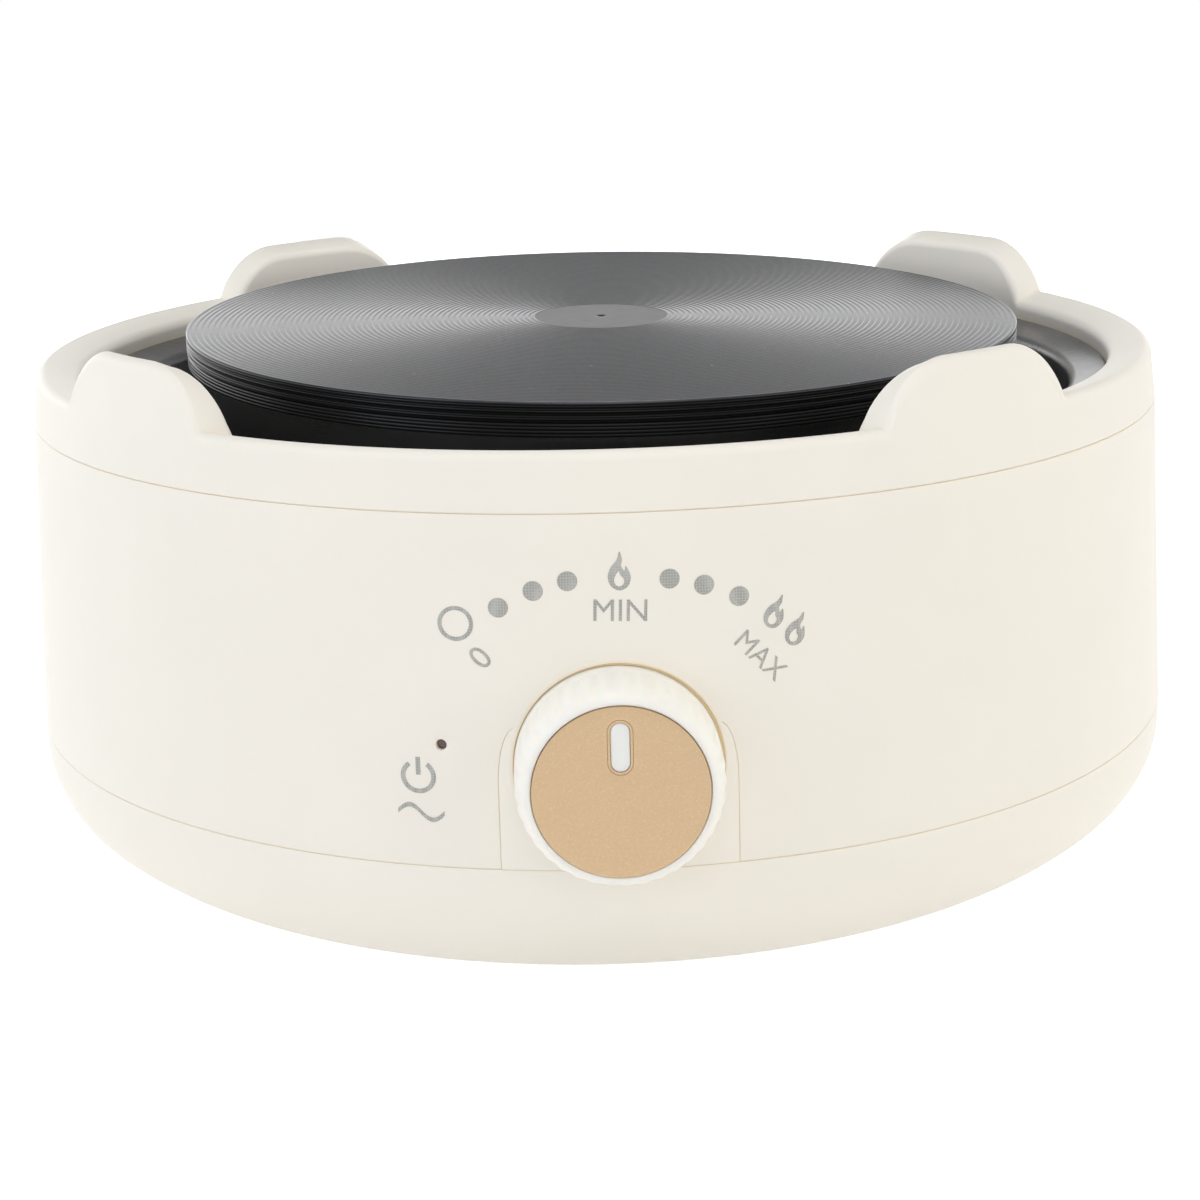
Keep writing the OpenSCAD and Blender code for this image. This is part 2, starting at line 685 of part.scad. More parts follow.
module thermostat_bush() color(brass) on_knob_axis() difference() {
    union() {
        rod(bush_r, t_stop, t_bush);
        rod(bush_flange_r, t_stop, t_flange);
        for (side = [-1, 1]) rotate([0, 0, -90 + side * stop_reach])
            translate([stop_lug_pos_r, 0, 0]) rod(stop_lug_r, t_pin, t_stop + weld);
    }
    rod(spindle_r + pin_gap, t_stop - past, t_bush + past);
}
module bush_nut() color(brass) on_knob_axis() hex_nut(bush_r, t_bracket, t_bracket + bush_nut_h);

module ceramic_spacers() color(ceramic) on_knob_axis() translate([0, stack_up, 0]) {
    tube(spacer_r, rivet_r + pin_gap, t_front_leaf, t_flange);
    tube(spacer_r, rivet_r + pin_gap, t_rear_leaf, t_front_leaf - leaf_t);
    tube(spacer_r, rivet_r + pin_gap, t_bimetal, t_rear_leaf - leaf_t);
}

// A contact leaf with its side terminal; contact_side says which face carries the contact
module leaf(t, side, contact_side) on_knob_axis() difference() {
    tab_end = leaf_w / 2 + tab_len;
    tab_start = side > 0 ? 0 : -tab_end;
    union() {
        block([-leaf_w / 2, leaf_low, t - leaf_t], [leaf_w / 2, leaf_high, t]);
        block([tab_start, stack_up - tab_half, t - leaf_t],
              [tab_start + tab_end, stack_up + tab_half, t]);
        translate([0, contact_up, contact_side > 0 ? t - weld / 2 : t - leaf_t - leaf_pitch / 2])
            rod(contact_r, 0, leaf_pitch / 2 + weld / 2);
    }
    translate([0, stack_up, 0]) rod(rivet_r + pin_gap, t - leaf_t - past, t + past);
}
module front_leaf() color(brass) leaf(t_front_leaf, 1, -1);
module rear_leaf() color(brass) leaf(t_rear_leaf, -1, 1);

bimetal_tail = 2;
nib_r = 1;
nib_up = leaf_low + 1.5;

module bimetal_strip() color(steel) on_knob_axis() difference() {
    union() {
        block([-leaf_w / 2, leaf_low - bimetal_tail, t_bimetal - bimetal_t],
              [leaf_w / 2, leaf_high, t_bimetal]);
        translate([0, nib_up, 0]) rod(nib_r, t_bimetal - weld, t_bimetal + bimetal_pitch - pin_clear);
    }
    translate([0, stack_up, 0]) rod(rivet_r + pin_gap, t_bimetal - bimetal_t - past, t_bimetal + past);
}

module stack_rivet() color(steel) on_knob_axis() translate([0, stack_up, 0]) {
    rod(rivet_r, t_bimetal - bimetal_t - weld, t_frame + weld);
    rod(rivet_head_r, t_frame, t_frame + rivet_head_t);
    rod(rivet_head_r, t_bimetal - bimetal_t - rivet_head_t, t_bimetal - bimetal_t);
}

// Turning pieces: spindle with its stop arm, clip, push pin, knob, cap and the spring in its hub
flat_cut = 1.5;
clip_t = 0.8;
clip_groove = 0.6;
clip_half_gap = 1.5;
push_pin_r = 1.6;
t_clip = t_bush + pin_clear;
t_spindle = t_recess - 2.4;
t_flat = t_clip + clip_t + 2;
collar_r = spindle_r + 1.4;

module spindle() color(steel) on_knob_axis() difference() {
    union() {
        rod(spindle_r, t_pin, t_spindle);
        rod(collar_r, t_pin, t_pin + stop_t);
        block([-stop_arm_half, -stop_arm_r, t_pin], [stop_arm_half, 0, t_pin + stop_t]);
    }
    block([-spindle_r - past, flat_cut, t_flat], [spindle_r + past, spindle_r + past, t_spindle + past]);
    tube(spindle_r + past, spindle_r - clip_groove, t_clip - pin_gap, t_clip + clip_t + pin_gap);
}

module spindle_clip() color(steel) on_knob_axis() difference() {
    tube(bush_r, spindle_r - clip_groove + pin_gap, t_clip, t_clip + clip_t);
    block([-clip_half_gap, 0, t_clip - past], [clip_half_gap, bush_r + past, t_clip + clip_t + past]);
}
module push_pin() color(ceramic) on_knob_axis() rod(push_pin_r, t_pin - pin_len, t_pin);

// Knob: fluted skirt with a rounded front, a recess for the cap, a pointer bar and a hub
knob_wall = 1.6;
hub_r = spindle_r + 2.6;
t_skirt = t_face - skirt_depth;
t_shoulder = t_face - shoulder_depth;
t_hub = t_flat + 1;
face_t = 1.9;
cap_rim = 0.3;
shoulder_r0 = cap_r + cap_rim;
shoulder_w = knob_r + pin_gap - shoulder_r0;
flute_r = 1;
flute_d = 0.35;
bar_half = 1.18;
bar_from = 4.16;
bar_to = 8.34;
slot_gap = 0.5;
spring_t = 0.5;
spring_len = 8;
spring_half = 1.8;

module fluted_outline() difference() {
    circle(r = knob_r);
    for (k = [0 : knob_flutes - 1]) rotate([0, 0, 360 * k / knob_flutes])
        translate([knob_r + flute_r - flute_d, 0]) circle(r = flute_r, $fn = 24);
}
// The pointer's outline, grown by a margin
module bar_outline(grow) {
    translate([-bar_half - grow, bar_from]) square([2 * (bar_half + grow), bar_to - bar_from]);
    for (y = [bar_from, bar_to]) translate([0, y]) circle(r = bar_half + grow);
}

module knob_outside() intersection() {
    translate([0, 0, t_skirt]) linear_extrude(skirt_depth) fluted_outline();
    turned(concat([[0, t_skirt], [knob_r + past, t_skirt], [knob_r + past, t_shoulder]],
                  oval([shoulder_r0, t_shoulder], [shoulder_w, shoulder_depth], 0, 90), [[0, t_face]]));
}
// Bore for the spindle: round, with a flat that leaves room for the spring
module knob_bore() {
    flat_up = flat_cut + spring_t + 2 * pin_gap;
    difference() {
        rod(spindle_r + pin_gap, t_hub - past, t_spindle + pin_clear);
        block([-hub_r, flat_up, t_hub - 2 * past], [hub_r, hub_r, t_spindle + past]);
    }
    block([-spring_half - pin_gap, 0, t_spindle - spring_len], [spring_half + pin_gap, flat_up, t_spindle]);
}

module knob_body() color([0.96, 0.95, 0.93]) on_knob_axis() difference() {
    union() {
        knob_outside();
        rod(hub_r, t_hub, t_recess - face_t + weld);
    }
    tube(knob_r - knob_wall, hub_r, t_skirt - past, t_recess - face_t);
    difference() {
        rod(cap_r + fit_gap, t_recess, t_front);
        translate([0, 0, t_recess - past]) linear_extrude(cap_t + past) bar_outline(0);
    }
    knob_bore();
}

module knob_cap() color(gold) on_knob_axis() difference() {
    rod(cap_r, t_recess, t_front);
    translate([0, 0, t_recess - past]) linear_extrude(cap_t + 2 * past) bar_outline(slot_gap);
}
module knob_spring() color(steel) on_knob_axis()
    block([-spring_half, flat_cut + pin_gap, t_spindle - spring_len + pin_gap],
          [spring_half, flat_cut + pin_gap + spring_t, t_spindle - pin_gap]);

// Indicator: lens in the shell's hole, lamp and plug in the socket behind it
lens_flange_t = 1;
lamp_r = 2.4;
lamp_len = 7;
lamp_step = 0.8;
lamp_tail = 1;
lens_sink = 0.6;
plug_t = 3;
lamp_far = shell_inner_lamp_r - lens_flange_t - lamp_len - 2 * pin_gap;

module indicator_lens() color([0.45, 0.12, 0.06]) outward(-lamp_turn, z_lamp) {
    rod(lamp_hole_r - pin_gap, shell_inner_lamp_r - weld, shell_r(z_lamp) - lens_sink);
    rod(lamp_socket_r - fit_gap, shell_inner_lamp_r - lens_flange_t, shell_inner_lamp_r - pin_gap);
}
module neon_lamp() color([0.95, 0.55, 0.35]) outward(-lamp_turn, z_lamp) {
    rod(lamp_r, lamp_far + lamp_tail, shell_inner_lamp_r - lens_flange_t - pin_gap);
    rod(lamp_r - lamp_step, lamp_far, lamp_far + lamp_tail + weld);
}
module lamp_plug() color([0.3, 0.3, 0.3]) outward(-lamp_turn, z_lamp) {
    rod(lamp_socket_r - pin_gap, lamp_far - plug_t, lamp_far);
}

// Thermal fuse in a clip under the bridge
fuse_r = 2.4;
fuse_half = 7;
crimp_r = 1.4;
crimp_len = 5;
clip_sheet = 0.7;
clip_half = 3;
clip_end = clip_screw_x + 3;
clip_hole_r = fuse_r + pin_gap;
clip_screw_len = clip_sheet + bracket_t - 0.2;
z_fuse = z_bridge - fuse_r - pin_gap;

module on_fuse_axis() { translate([fuse_x, 0, z_fuse]) rotate([90, 0, 0]) children(); }
module thermal_fuse() color(ceramic) on_fuse_axis() {
    rod(fuse_r, -fuse_half, fuse_half);
    rod(crimp_r, -fuse_half - crimp_len, fuse_half + crimp_len);
}
module fuse_clip() color(steel) difference() {
    union() {
        on_fuse_axis() rod(clip_hole_r + clip_sheet, -clip_half, clip_half);
        block([fuse_x - clip_end, -clip_half, z_bridge - clip_sheet],
              [fuse_x + clip_end, clip_half, z_bridge]);
    }
    on_fuse_axis() rod(clip_hole_r, -clip_half - past, clip_half + past);
    block([fuse_x - clip_hole_r, -clip_half - past, z_fuse],
          [fuse_x + clip_hole_r, clip_half + past, z_bridge + past]);
    block([fuse_x - 2 * fuse_r, -clip_half - past, z_bridge],
          [fuse_x + 2 * fuse_r, clip_half + past, z_bridge + 2 * past]);
    at_clip_screws() rod(clip_screw_r + pin_gap, z_bridge - clip_sheet - past, z_bridge + past);
}
module clip_screws() color(steel) at_clip_screws()
    screw(z_bridge - clip_sheet, clip_screw_len, -1, clip_screw_r);

// Terminal block on the base's floor
block_half = 15;
block_y = 51;
block_depth = 14;
block_h = 12;
block_lift = 2;
block_screw_x = 4.5;
block_screw_r = 1.2;
z_block = z_floor + block_lift;
port_pitch = 9;
port_r = 1.8;
port_d = 5;
z_port = z_block + 6;
block_face = block_depth / 2;
block_screw_len = block_h + block_lift - 0.5;

module terminal_block() color(ceramic) difference() {
    block([-block_half, block_y - block_face, z_block],
          [block_half, block_y + block_face, z_block + block_h]);
    for (k = [-1 : 1], face = [-1, 1])
        translate([k * port_pitch, block_y + face * (block_face - port_d), z_port])
            rotate([face > 0 ? -90 : 90, 0, 0]) rod(port_r, 0, port_d + past);
    both_sides(block_screw_x, block_y)
        rod(block_screw_r + pin_gap, z_block - past, z_block + block_h + past);
}
module block_screws() color(steel) both_sides(block_screw_x, block_y)
    screw(z_block + block_h, block_screw_len, 1, block_screw_r);

// Cord gland in the back of the shell, with its nut inside
gland_flange_r = gland_neck_r + 3;
gland_flange_t = 3;
gland_outside = 8;
gland_inside = 6;
gland_nut_t = 3.5;
gland_wide_r = gland_bore_r + 0.7;
gland_throat = gland_outside - 0.5;
gland_nut_seat = sqrt((shell_r(z_gland + gland_flange_r) - wall) ^ 2 - gland_flange_r ^ 2) - pin_gap;

module cord_gland() color(cream) outward(180, z_gland) difference() {
    union() {
        rod(gland_neck_r, gland_nut_seat - gland_inside, shell_r(z_gland) + gland_outside);
        difference() {
            rod(gland_flange_r, shell_r(z_gland) - gland_flange_t, shell_r(z_gland) + gland_flange_t);
            rotate([-90, 0, 0]) translate([0, 0, -z_gland])
                cylinder(r1 = shell_r(0) + pin_gap, r2 = shell_r(z_top) + pin_gap, h = z_top);
        }
    }
    rod(gland_bore_r, gland_nut_seat - gland_inside - past, shell_r(z_gland) + gland_outside + past);
    rod(gland_wide_r, gland_nut_seat - gland_inside - past, shell_r(z_gland) + gland_outside - gland_throat);
}
module gland_nut() color(cream) outward(180, z_gland) difference() {
    translate([0, 0, gland_nut_seat - gland_nut_t]) cylinder(r = gland_flange_r, h = gland_nut_t, $fn = 8);
    rod(gland_neck_r + pin_gap, gland_nut_seat - gland_nut_t - past, gland_nut_seat + past);
}

// Earth tag under the left bridge screw
tag_t = 0.8;
tag_r = 3.6;
tag_half = 2;
tag_reach = bridge_w / 2 + 4;

module earth_tag() color(brass) translate([-bridge_post_x, 0, 0]) difference() {
    union() {
        rod(tag_r, z_bowl_low, z_bowl_low + tag_t);
        block([-tag_half, -tag_reach, z_bowl_low], [tag_half, 0, z_bowl_low + tag_t]);
    }
    rod(screw_r + pin_gap, z_bowl_low - past, z_bowl_low + tag_t + past);
}

// Inner wires: tubes swept along smooth routes through chosen points
wire_r = 1.1;
lead_r = 0.7;
wire_sides = 8;
wire_steps = 3;
// Gap left at a wire's end, and the length of its straight start
wire_end = 0.02;
stub = 4;

// A point on a smooth curve through points a, b, c and d, between b and c
function smooth(a, b, c, d, t) = 0.5 * (2 * b + (c - a) * t + (2 * a - 5 * b + 4 * c - d) * t ^ 2
                                        + (3 * b - a - 3 * c + d) * t ^ 3);
function route(p) = [
    for (i = [0 : len(p) - 2], k = [0 : wire_steps - 1])
        smooth(p[max(i - 1, 0)], p[i], p[i + 1], p[min(i + 2, len(p) - 1)], k / wire_steps),
    p[len(p) - 1]];
function unit(d) = d / norm(d);
function heading(points, p, i) = let (n = len(points) - 1)
    i == 0 ? unit(points[1] - points[0])
    : i == len(p) - 1 ? unit(points[n] - points[n - 1])
    : unit(p[i + 1] - p[i - 1]);
function ring(centre, d, side, r) = let (u = unit(cross(d, side)), v = cross(d, u))
    [for (k = [0 : wire_sides - 1]) let (a = 360 * k / wire_sides) centre + r * (cos(a) * u + sin(a) * v)];

module wire(points, r, side = [0.9, 0.3, 0.2]) {
    p = route(points);
    rings = [for (i = [0 : len(p) - 1]) each ring(p[i], heading(points, p, i), side, r)];
    last = (len(p) - 1) * wire_sides;
    sides = [for (i = [0 : len(p) - 2], k = [0 : wire_sides - 1])
        let (b = i * wire_sides, n = (k + 1) % wire_sides)
        each [[b + k, b + wire_sides + n, b + n], [b + k, b + wire_sides + k, b + wire_sides + n]]];
    caps = [for (k = [1 : wire_sides - 2]) each [[0, k, k + 1], [last, last + k + 1, last + k]]];
    polyhedron(points = rings, faces = concat(sides, caps));
}

port_y = block_y - block_face + port_d - wire_end;
tab_x = leaf_w / 2 + tab_len + wire_end;
pin_x = element_ring_r * sin(element_gap_turn);
pin_y = element_ring_r * cos(element_gap_turn);
z_tab = z_knob + stack_up;
y_front_tab = leaf_t / 2 - t_front_leaf;
y_rear_tab = leaf_t / 2 - t_rear_leaf;
fuse_end = fuse_half + crimp_len + wire_end;
y_tag = -tag_reach - wire_end;
z_tag = z_bowl_low + tag_t / 2;

// The straight start of a wire in one of the terminal block's ports
function from_port(k) = [for (out = [0, 6, 12]) [k * port_pitch, port_y - out, z_port]];
// The straight end of a wire under an element pin
function to_pin(side) = [[side * pin_x, pin_y, z_pin - stub], [side * pin_x, pin_y, z_pin - wire_end]];

module live_wire() color([0.5, 0.25, 0.1]) wire(concat(
    from_port(1), [[14, 18, 12], [25, -10, 12], [28, -38, 25], [24, 2 - t_front_leaf, z_tab - 8],
    [tab_x + stub, y_front_tab, z_tab], [tab_x, y_front_tab, z_tab]]), wire_r);
module switched_wire() color([0.8, 0.2, 0.15]) wire(concat(
    [[-tab_x, y_rear_tab, z_tab], [-tab_x - stub, y_rear_tab, z_tab], [-24, -30, 44], [-20, 0, 42],
     [-14, 30, 40]], to_pin(-1)), wire_r);
module supply_neutral_wire() color([0.2, 0.3, 0.7]) wire(concat(
    from_port(-1), [[-18, 26, 18], [-32, 22, 34],
    [fuse_x, fuse_end + stub, z_fuse], [fuse_x, fuse_end, z_fuse]]), wire_r);
module element_neutral_wire() color([0.2, 0.3, 0.7]) wire(concat(
    [[fuse_x, -fuse_end, z_fuse], [fuse_x, -fuse_end - stub, z_fuse], [-30, -20, 40], [-10, -18, 32],
     [16, 2, 34], [16, 26, 38]], to_pin(1)), wire_r);
module earth_wire() color([0.45, 0.6, 0.2]) wire(concat(
    [[-bridge_post_x, y_tag, z_tag], [-bridge_post_x, y_tag - stub, z_tag], [-78, -16, 44], [-70, 2, 28],
     [-45, 20, 12], [-12, 25, 11]], backwards(from_port(0))), wire_r);
// Two leads from the lamp's plug: one to the rear leaf's tab and one to the fuse's front crimp
module lamp_leads() color([0.2, 0.2, 0.2]) {
    plug_back = lamp_far - plug_t - wire_end;
    start = [-sin(lamp_turn), -cos(lamp_turn), 0];
    high = [0, 0, z_lamp + lamp_socket_r / 2];
    low = [0, 0, z_lamp - lamp_socket_r / 2];
    lead_tab = [-tab_x + 3, -t_rear_leaf - wire_end, z_tab];
    lead_crimp = [fuse_x - crimp_r - wire_end, -fuse_half - crimp_len / 2, z_fuse];
    wire([start * plug_back + high, start * (plug_back - stub) + high, [-19, -6 - t_rear_leaf, z_tab - 2],
          lead_tab - [0, stub, 0], lead_tab], lead_r);
    wire([start * plug_back + low, start * (plug_back - stub) + low, [-26, -58, 46], [-38, -40, 51],
          [-45, -20, 54], lead_crimp - [stub, 0, 0], lead_crimp], lead_r);
}

top_ring();
main_shell();
base_pan();
knob_panel();
drip_bowl();
heating_plate();
heating_element();
insulation_disc();
backing_pan();
centre_stud();
spacer_sleeve();
support_bridge();
stud_washer();
stud_nut();
element_insulators();
bridge_screws();
ring_screws();
base_screws();
feet();
thermostat_bracket();
bracket_screws();
bracket_nuts();
thermostat_frame();
thermostat_bush();
bush_nut();
ceramic_spacers();
front_leaf();
rear_leaf();
bimetal_strip();
stack_rivet();
spindle();
spindle_clip();
push_pin();
knob_body();
knob_cap();
knob_spring();
indicator_lens();
neon_lamp();
lamp_plug();
thermal_fuse();
fuse_clip();
clip_screws();
terminal_block();
block_screws();
cord_gland();
gland_nut();
earth_tag();
live_wire();
switched_wire();
supply_neutral_wire();
element_neutral_wire();
earth_wire();
lamp_leads();
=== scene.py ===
"""Looks of the portable hot plate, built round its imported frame.

Lengths are in millimetres until a mesh is made. Materials, floor, lamps and camera are in metres.
"""

import json
import math

import bmesh
import bpy
import numpy as np
from mathutils import Matrix, Vector, geometry


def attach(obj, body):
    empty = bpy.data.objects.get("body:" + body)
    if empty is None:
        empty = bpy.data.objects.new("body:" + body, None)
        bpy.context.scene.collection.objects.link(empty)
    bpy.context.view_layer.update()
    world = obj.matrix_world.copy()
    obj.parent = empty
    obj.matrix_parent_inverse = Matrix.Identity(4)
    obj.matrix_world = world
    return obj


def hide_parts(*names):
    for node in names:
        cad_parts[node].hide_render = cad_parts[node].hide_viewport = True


MM = 0.001
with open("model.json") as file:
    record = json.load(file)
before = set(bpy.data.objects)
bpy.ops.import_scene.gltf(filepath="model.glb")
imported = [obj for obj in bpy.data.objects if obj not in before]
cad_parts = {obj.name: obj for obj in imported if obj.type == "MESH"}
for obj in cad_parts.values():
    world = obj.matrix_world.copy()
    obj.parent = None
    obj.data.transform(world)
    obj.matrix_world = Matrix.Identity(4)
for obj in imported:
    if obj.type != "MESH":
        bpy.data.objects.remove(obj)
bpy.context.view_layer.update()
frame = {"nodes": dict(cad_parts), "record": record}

# Heights of the body
Z_BASE = 2.6
Z_LOW = 24.5
Z_TOP = 73.8
Z_RIM = 82.0
Z_PLATE = 85.7
Z_LEDGE = 76.5
Z_KNOB = 39.0
Z_GLAND = 38.5
Z_LAMP = 41.9

# Radii of the body
BODY_TOP_R = 91.0
BODY_LOW_R = 93.1
BASE_FLAT_R = 68.4
WALL = 2.4
RIM_INNER_R = 83.4
SEAM_BEVEL = 0.2
SEAM_GAP = 0.02

# Panel, knob and lamp
PANEL_R = 16.3
PANEL_GAP = 0.015
PANEL_BEVEL = 0.12
PANEL_T = WALL + 1.5
HORN_RISE = 5.5
HORN_BEND = 8.0
HOLE_R = 14.87
HOLE_LIP_R = 14.38
HOLE_LIP_SHIFT = (0.14, 0.03)
HOLE_STEP_R = 14.17
KNOB_R = 14.1
CAP_R = 11.84
LAMP_TURN = math.radians(-15)
LAMP_HOLE_R = 0.75


def shell_radius(z):
    """Outer radius of the main shell at a height."""
    return BODY_LOW_R + (BODY_TOP_R - BODY_LOW_R) * (z - Z_LOW) / (Z_TOP - Z_LOW)


def shell_point(turn, z, depth):
    """A point at a depth under the shell's surface, at an angle from the front."""
    r = shell_radius(z) - depth
    return (r * math.sin(turn), -r * math.cos(turn), z)


def front_turn(x, z):
    """Angle from the front of a point of the shell's surface that is seen at x."""
    return math.asin(x / shell_radius(z))


def front_point(x, z, depth):
    """A point at a depth under the shell's surface that is seen at x from the front."""
    return shell_point(front_turn(x, z), z, depth)


def lerp(a, b, t):
    return a + (b - a) * t


def smooth_step(t):
    t = min(1.0, max(0.0, t))
    return t * t * (3 - 2 * t)


def arc(centre, radius, start, end, steps):
    """Points of an arc, angles in degrees; radius is one number or the two half axes."""
    rx, rz = radius if isinstance(radius, tuple) else (radius, radius)
    angles = [math.radians(start + (end - start) * i / steps) for i in range(steps + 1)]
    return [(centre[0] + rx * math.cos(a), centre[1] + rz * math.sin(a)) for a in angles]


def rounded(points, radius, steps=6):
    """A polyline whose inner corners are rounded; radius is one number or one per corner."""
    radii = radius if isinstance(radius, (list, tuple)) else [radius] * len(points)
    result = [points[0]]
    for k in range(1, len(points) - 1):
        before, corner, after = (np.array(points[k + d], float) for d in (-1, 0, 1))
        u = before - corner
        v = after - corner
        room = 0.49 * min(np.linalg.norm(u), np.linalg.norm(v))
        u /= np.linalg.norm(u)
        v /= np.linalg.norm(v)
        half = math.acos(max(-1.0, min(1.0, float(u @ v)))) / 2
        reach = min(radii[k] / max(math.tan(half), 1e-6), room)
        if radii[k] <= 0 or half > math.radians(89):
            result.append(tuple(corner))
            continue
        start = corner + u * reach
        end = corner + v * reach
        for i in range(steps + 1):
            t = i / steps
            result.append(tuple((1 - t) ** 2 * start + 2 * t * (1 - t) * corner + t * t * end))
    result.append(points[-1])
    return result


def full_turn(count):
    """Even angles all round."""
    return [2 * math.pi * k / count for k in range(count)]


def put(name, data):
    """A new object in the scene."""
    made = bpy.data.objects.new(name, data)
    bpy.context.scene.collection.objects.link(made)
    return made


class Builder:
    """Collects the points and faces of one piece."""

    def __init__(self):
        self.points = []
        self.faces = []

    def add(self, points):
        start = len(self.points)
        self.points.extend(tuple(p) for p in points)
        return list(range(start, len(self.points)))

    def strip(self, a, b, closed=True):
        """Faces between two rows of equal length."""
        count = len(a) if closed else len(a) - 1
        for i in range(count):
            j = (i + 1) % len(a)
            self.faces.append((a[i], a[j], b[j], b[i]))

    def rows(self, rows, closed=True, loop=False):
        """Faces between rows of points, each closed round or open, the last joined to the first or not."""
        made = [self.add(row) for row in rows]
        for a, b in zip(made, made[1:]):
            self.strip(a, b, closed)
        if loop:
            self.strip(made[-1], made[0], closed)
        return made

    def lathe(self, profile, segments):
        """A section of (radius, height) points turned about Z. A radius of nought makes a pole."""
        turns = full_turn(segments)
        before = None
        for r, z in profile:
            if r < 1e-6:
                row = self.add([(0, 0, z)])
            else:
                row = self.add([(r * math.sin(t), -r * math.cos(t), z) for t in turns])
            if before and len(before) == len(row) > 1:
                self.strip(before, row)
            elif before and len(row) > 1:
                self.faces.extend((before[0], row[(i + 1) % segments], row[i]) for i in range(segments))
            elif before and len(before) > 1:
                self.faces.extend((row[0], before[i], before[(i + 1) % segments]) for i in range(segments))
            before = row

    def move(self, place):
        self.points = [tuple(place @ Vector(p)) for p in self.points]

    def make(self, name, material, replaces=(), body="housing", sharp=50, merge=0.0):
        """The finished object, riding on its body."""
        mesh = bpy.data.meshes.new(name)
        mesh.from_pydata([Vector(p) * MM for p in self.points], [], self.faces)
        shape = bmesh.new()
        shape.from_mesh(mesh)
        if merge:
            bmesh.ops.remove_doubles(shape, verts=shape.verts, dist=merge * MM)
        bmesh.ops.recalc_face_normals(shape, faces=shape.faces)
        shape.to_mesh(mesh)
        shape.free()
        mesh.shade_smooth()
        mesh.set_sharp_from_angle(angle=math.radians(sharp))
        mesh.materials.append(material)
        piece = put(name, mesh)
        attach(piece, body)
        if replaces:
            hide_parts(*replaces)


def to_left(directions):
    return np.stack([-directions[:, 1], directions[:, 0]], 1)


def inset(loop, distance):
    """A closed loop of 2D points moved to its left by a distance."""
    p = np.array(loop, float)
    ahead = np.roll(p, -1, 0) - p
    ahead /= np.linalg.norm(ahead, axis=1)[:, None]
    behind = np.roll(ahead, 1, 0)
    normal = to_left(ahead) + to_left(behind)
    normal /= np.linalg.norm(normal, axis=1)[:, None]
    stretch = np.maximum((normal * to_left(ahead)).sum(1), 0.5)
    return [tuple(q) for q in p + normal * (distance / stretch)[:, None]]


def inside_loop(point, loop):
    x, y = point
    hit = False
    for (x0, y0), (x1, y1) in zip(loop, loop[1:] + loop[:1]):
        if (y0 > y) != (y1 > y) and x < (x1 - x0) * (y - y0) / (y1 - y0) + x0:
            hit = not hit
    return hit


def fill(outer, holes, spacing):
    """Triangles of a flat region: its 2D points, with the loops' own points first, and the triangles."""
    loops = [outer] + holes
    points = [p for loop in loops for p in loop]
    edges = []
    start = 0
    for loop in loops:
        edges += [(start + i, start + (i + 1) % len(loop)) for i in range(len(loop))]
        start += len(loop)
    rim = np.array(points)
    step_x, step_y = spacing
    low = rim.min(0)
    high = rim.max(0)
    for x in np.arange(low[0] + step_x, high[0] - step_x / 2, step_x):
        for y in np.arange(low[1] + step_y, high[1] - step_y / 2, step_y):
            away = np.abs((rim - (x, y)) / (step_x, step_y)).max(1).min()
            if away > 0.5 and inside_loop((x, y), outer) and not any(inside_loop((x, y), h) for h in holes):
                points.append((x, y))
    made = geometry.delaunay_2d_cdt([Vector(p) for p in points], edges, [], 0, 1e-7)
    triangles = []
    for face in made[2]:
        centre = sum((made[0][i] for i in face), Vector((0, 0))) / 3
        if inside_loop(centre, outer) and not any(inside_loop(centre, h) for h in holes):
            triangles.append(face)
    return [tuple(p) for p in made[0]], triangles


# Steps of a rounded edge: shares of its width and of its depth
ROUND_EDGE = ((0.62, 0.08), (0.29, 0.29), (0.08, 0.62), (0.0, 1.0))


def sheet(builder, outer, holes, spacing, place, thickness, bevel):
    """A thick sheet with rounded front edges.

    Loops keep their material on the left; place maps (x, y, depth).
    """
    loops = [outer] + holes
    inner = [inset(loop, bevel) for loop in loops]
    flat, triangles = fill(inner[0], inner[1:], spacing)
    front = builder.add([place(x, y, 0) for x, y in flat])
    back = builder.add([place(x, y, thickness) for x, y in flat])
    for a, b, c in triangles:
        builder.faces.append((front[a], front[b], front[c]))
        builder.faces.append((back[c], back[b], back[a]))
    start = 0
    for loop in loops:
        before = front[start:start + len(loop)]
        for share, depth in ROUND_EDGE:
            row = inset(loop, bevel * share)
            now = builder.add([place(x, y, depth * bevel) for x, y in row])
            builder.strip(before, now)
            before = now
        deep = builder.add([place(x, y, thickness) for x, y in loop])
        builder.strip(before, deep)
        builder.strip(deep, back[start:start + len(loop)])
        start += len(loop)


def circle(centre, radius, count, clockwise=False):
    turns = full_turn(count)
    if clockwise:
        turns.reverse()
    return [(centre[0] + radius * math.cos(t), centre[1] + radius * math.sin(t)) for t in turns]


# Materials

COAT_ROUGH = 0.15
SOFT_RADIUS = (0.004, 0.003, 0.002)
SOFT_SCALE = 0.5


def new_material(name):
    material = bpy.data.materials.new(name)
    material.use_nodes = True
    tree = material.node_tree
    return material, tree, tree.nodes["Principled BSDF"]


def link(tree, a, out, b, into):
    tree.links.new(a.outputs[out], b.inputs[into])


def set_inputs(node, values):
    for name, value in values.items():
        node.inputs[name].default_value = value


def new_node(tree, kind, values=None):
    node = tree.nodes.new("ShaderNode" + kind)
    set_inputs(node, values or {})
    return node


def place_texture(tree):
    return new_node(tree, "TexCoord")


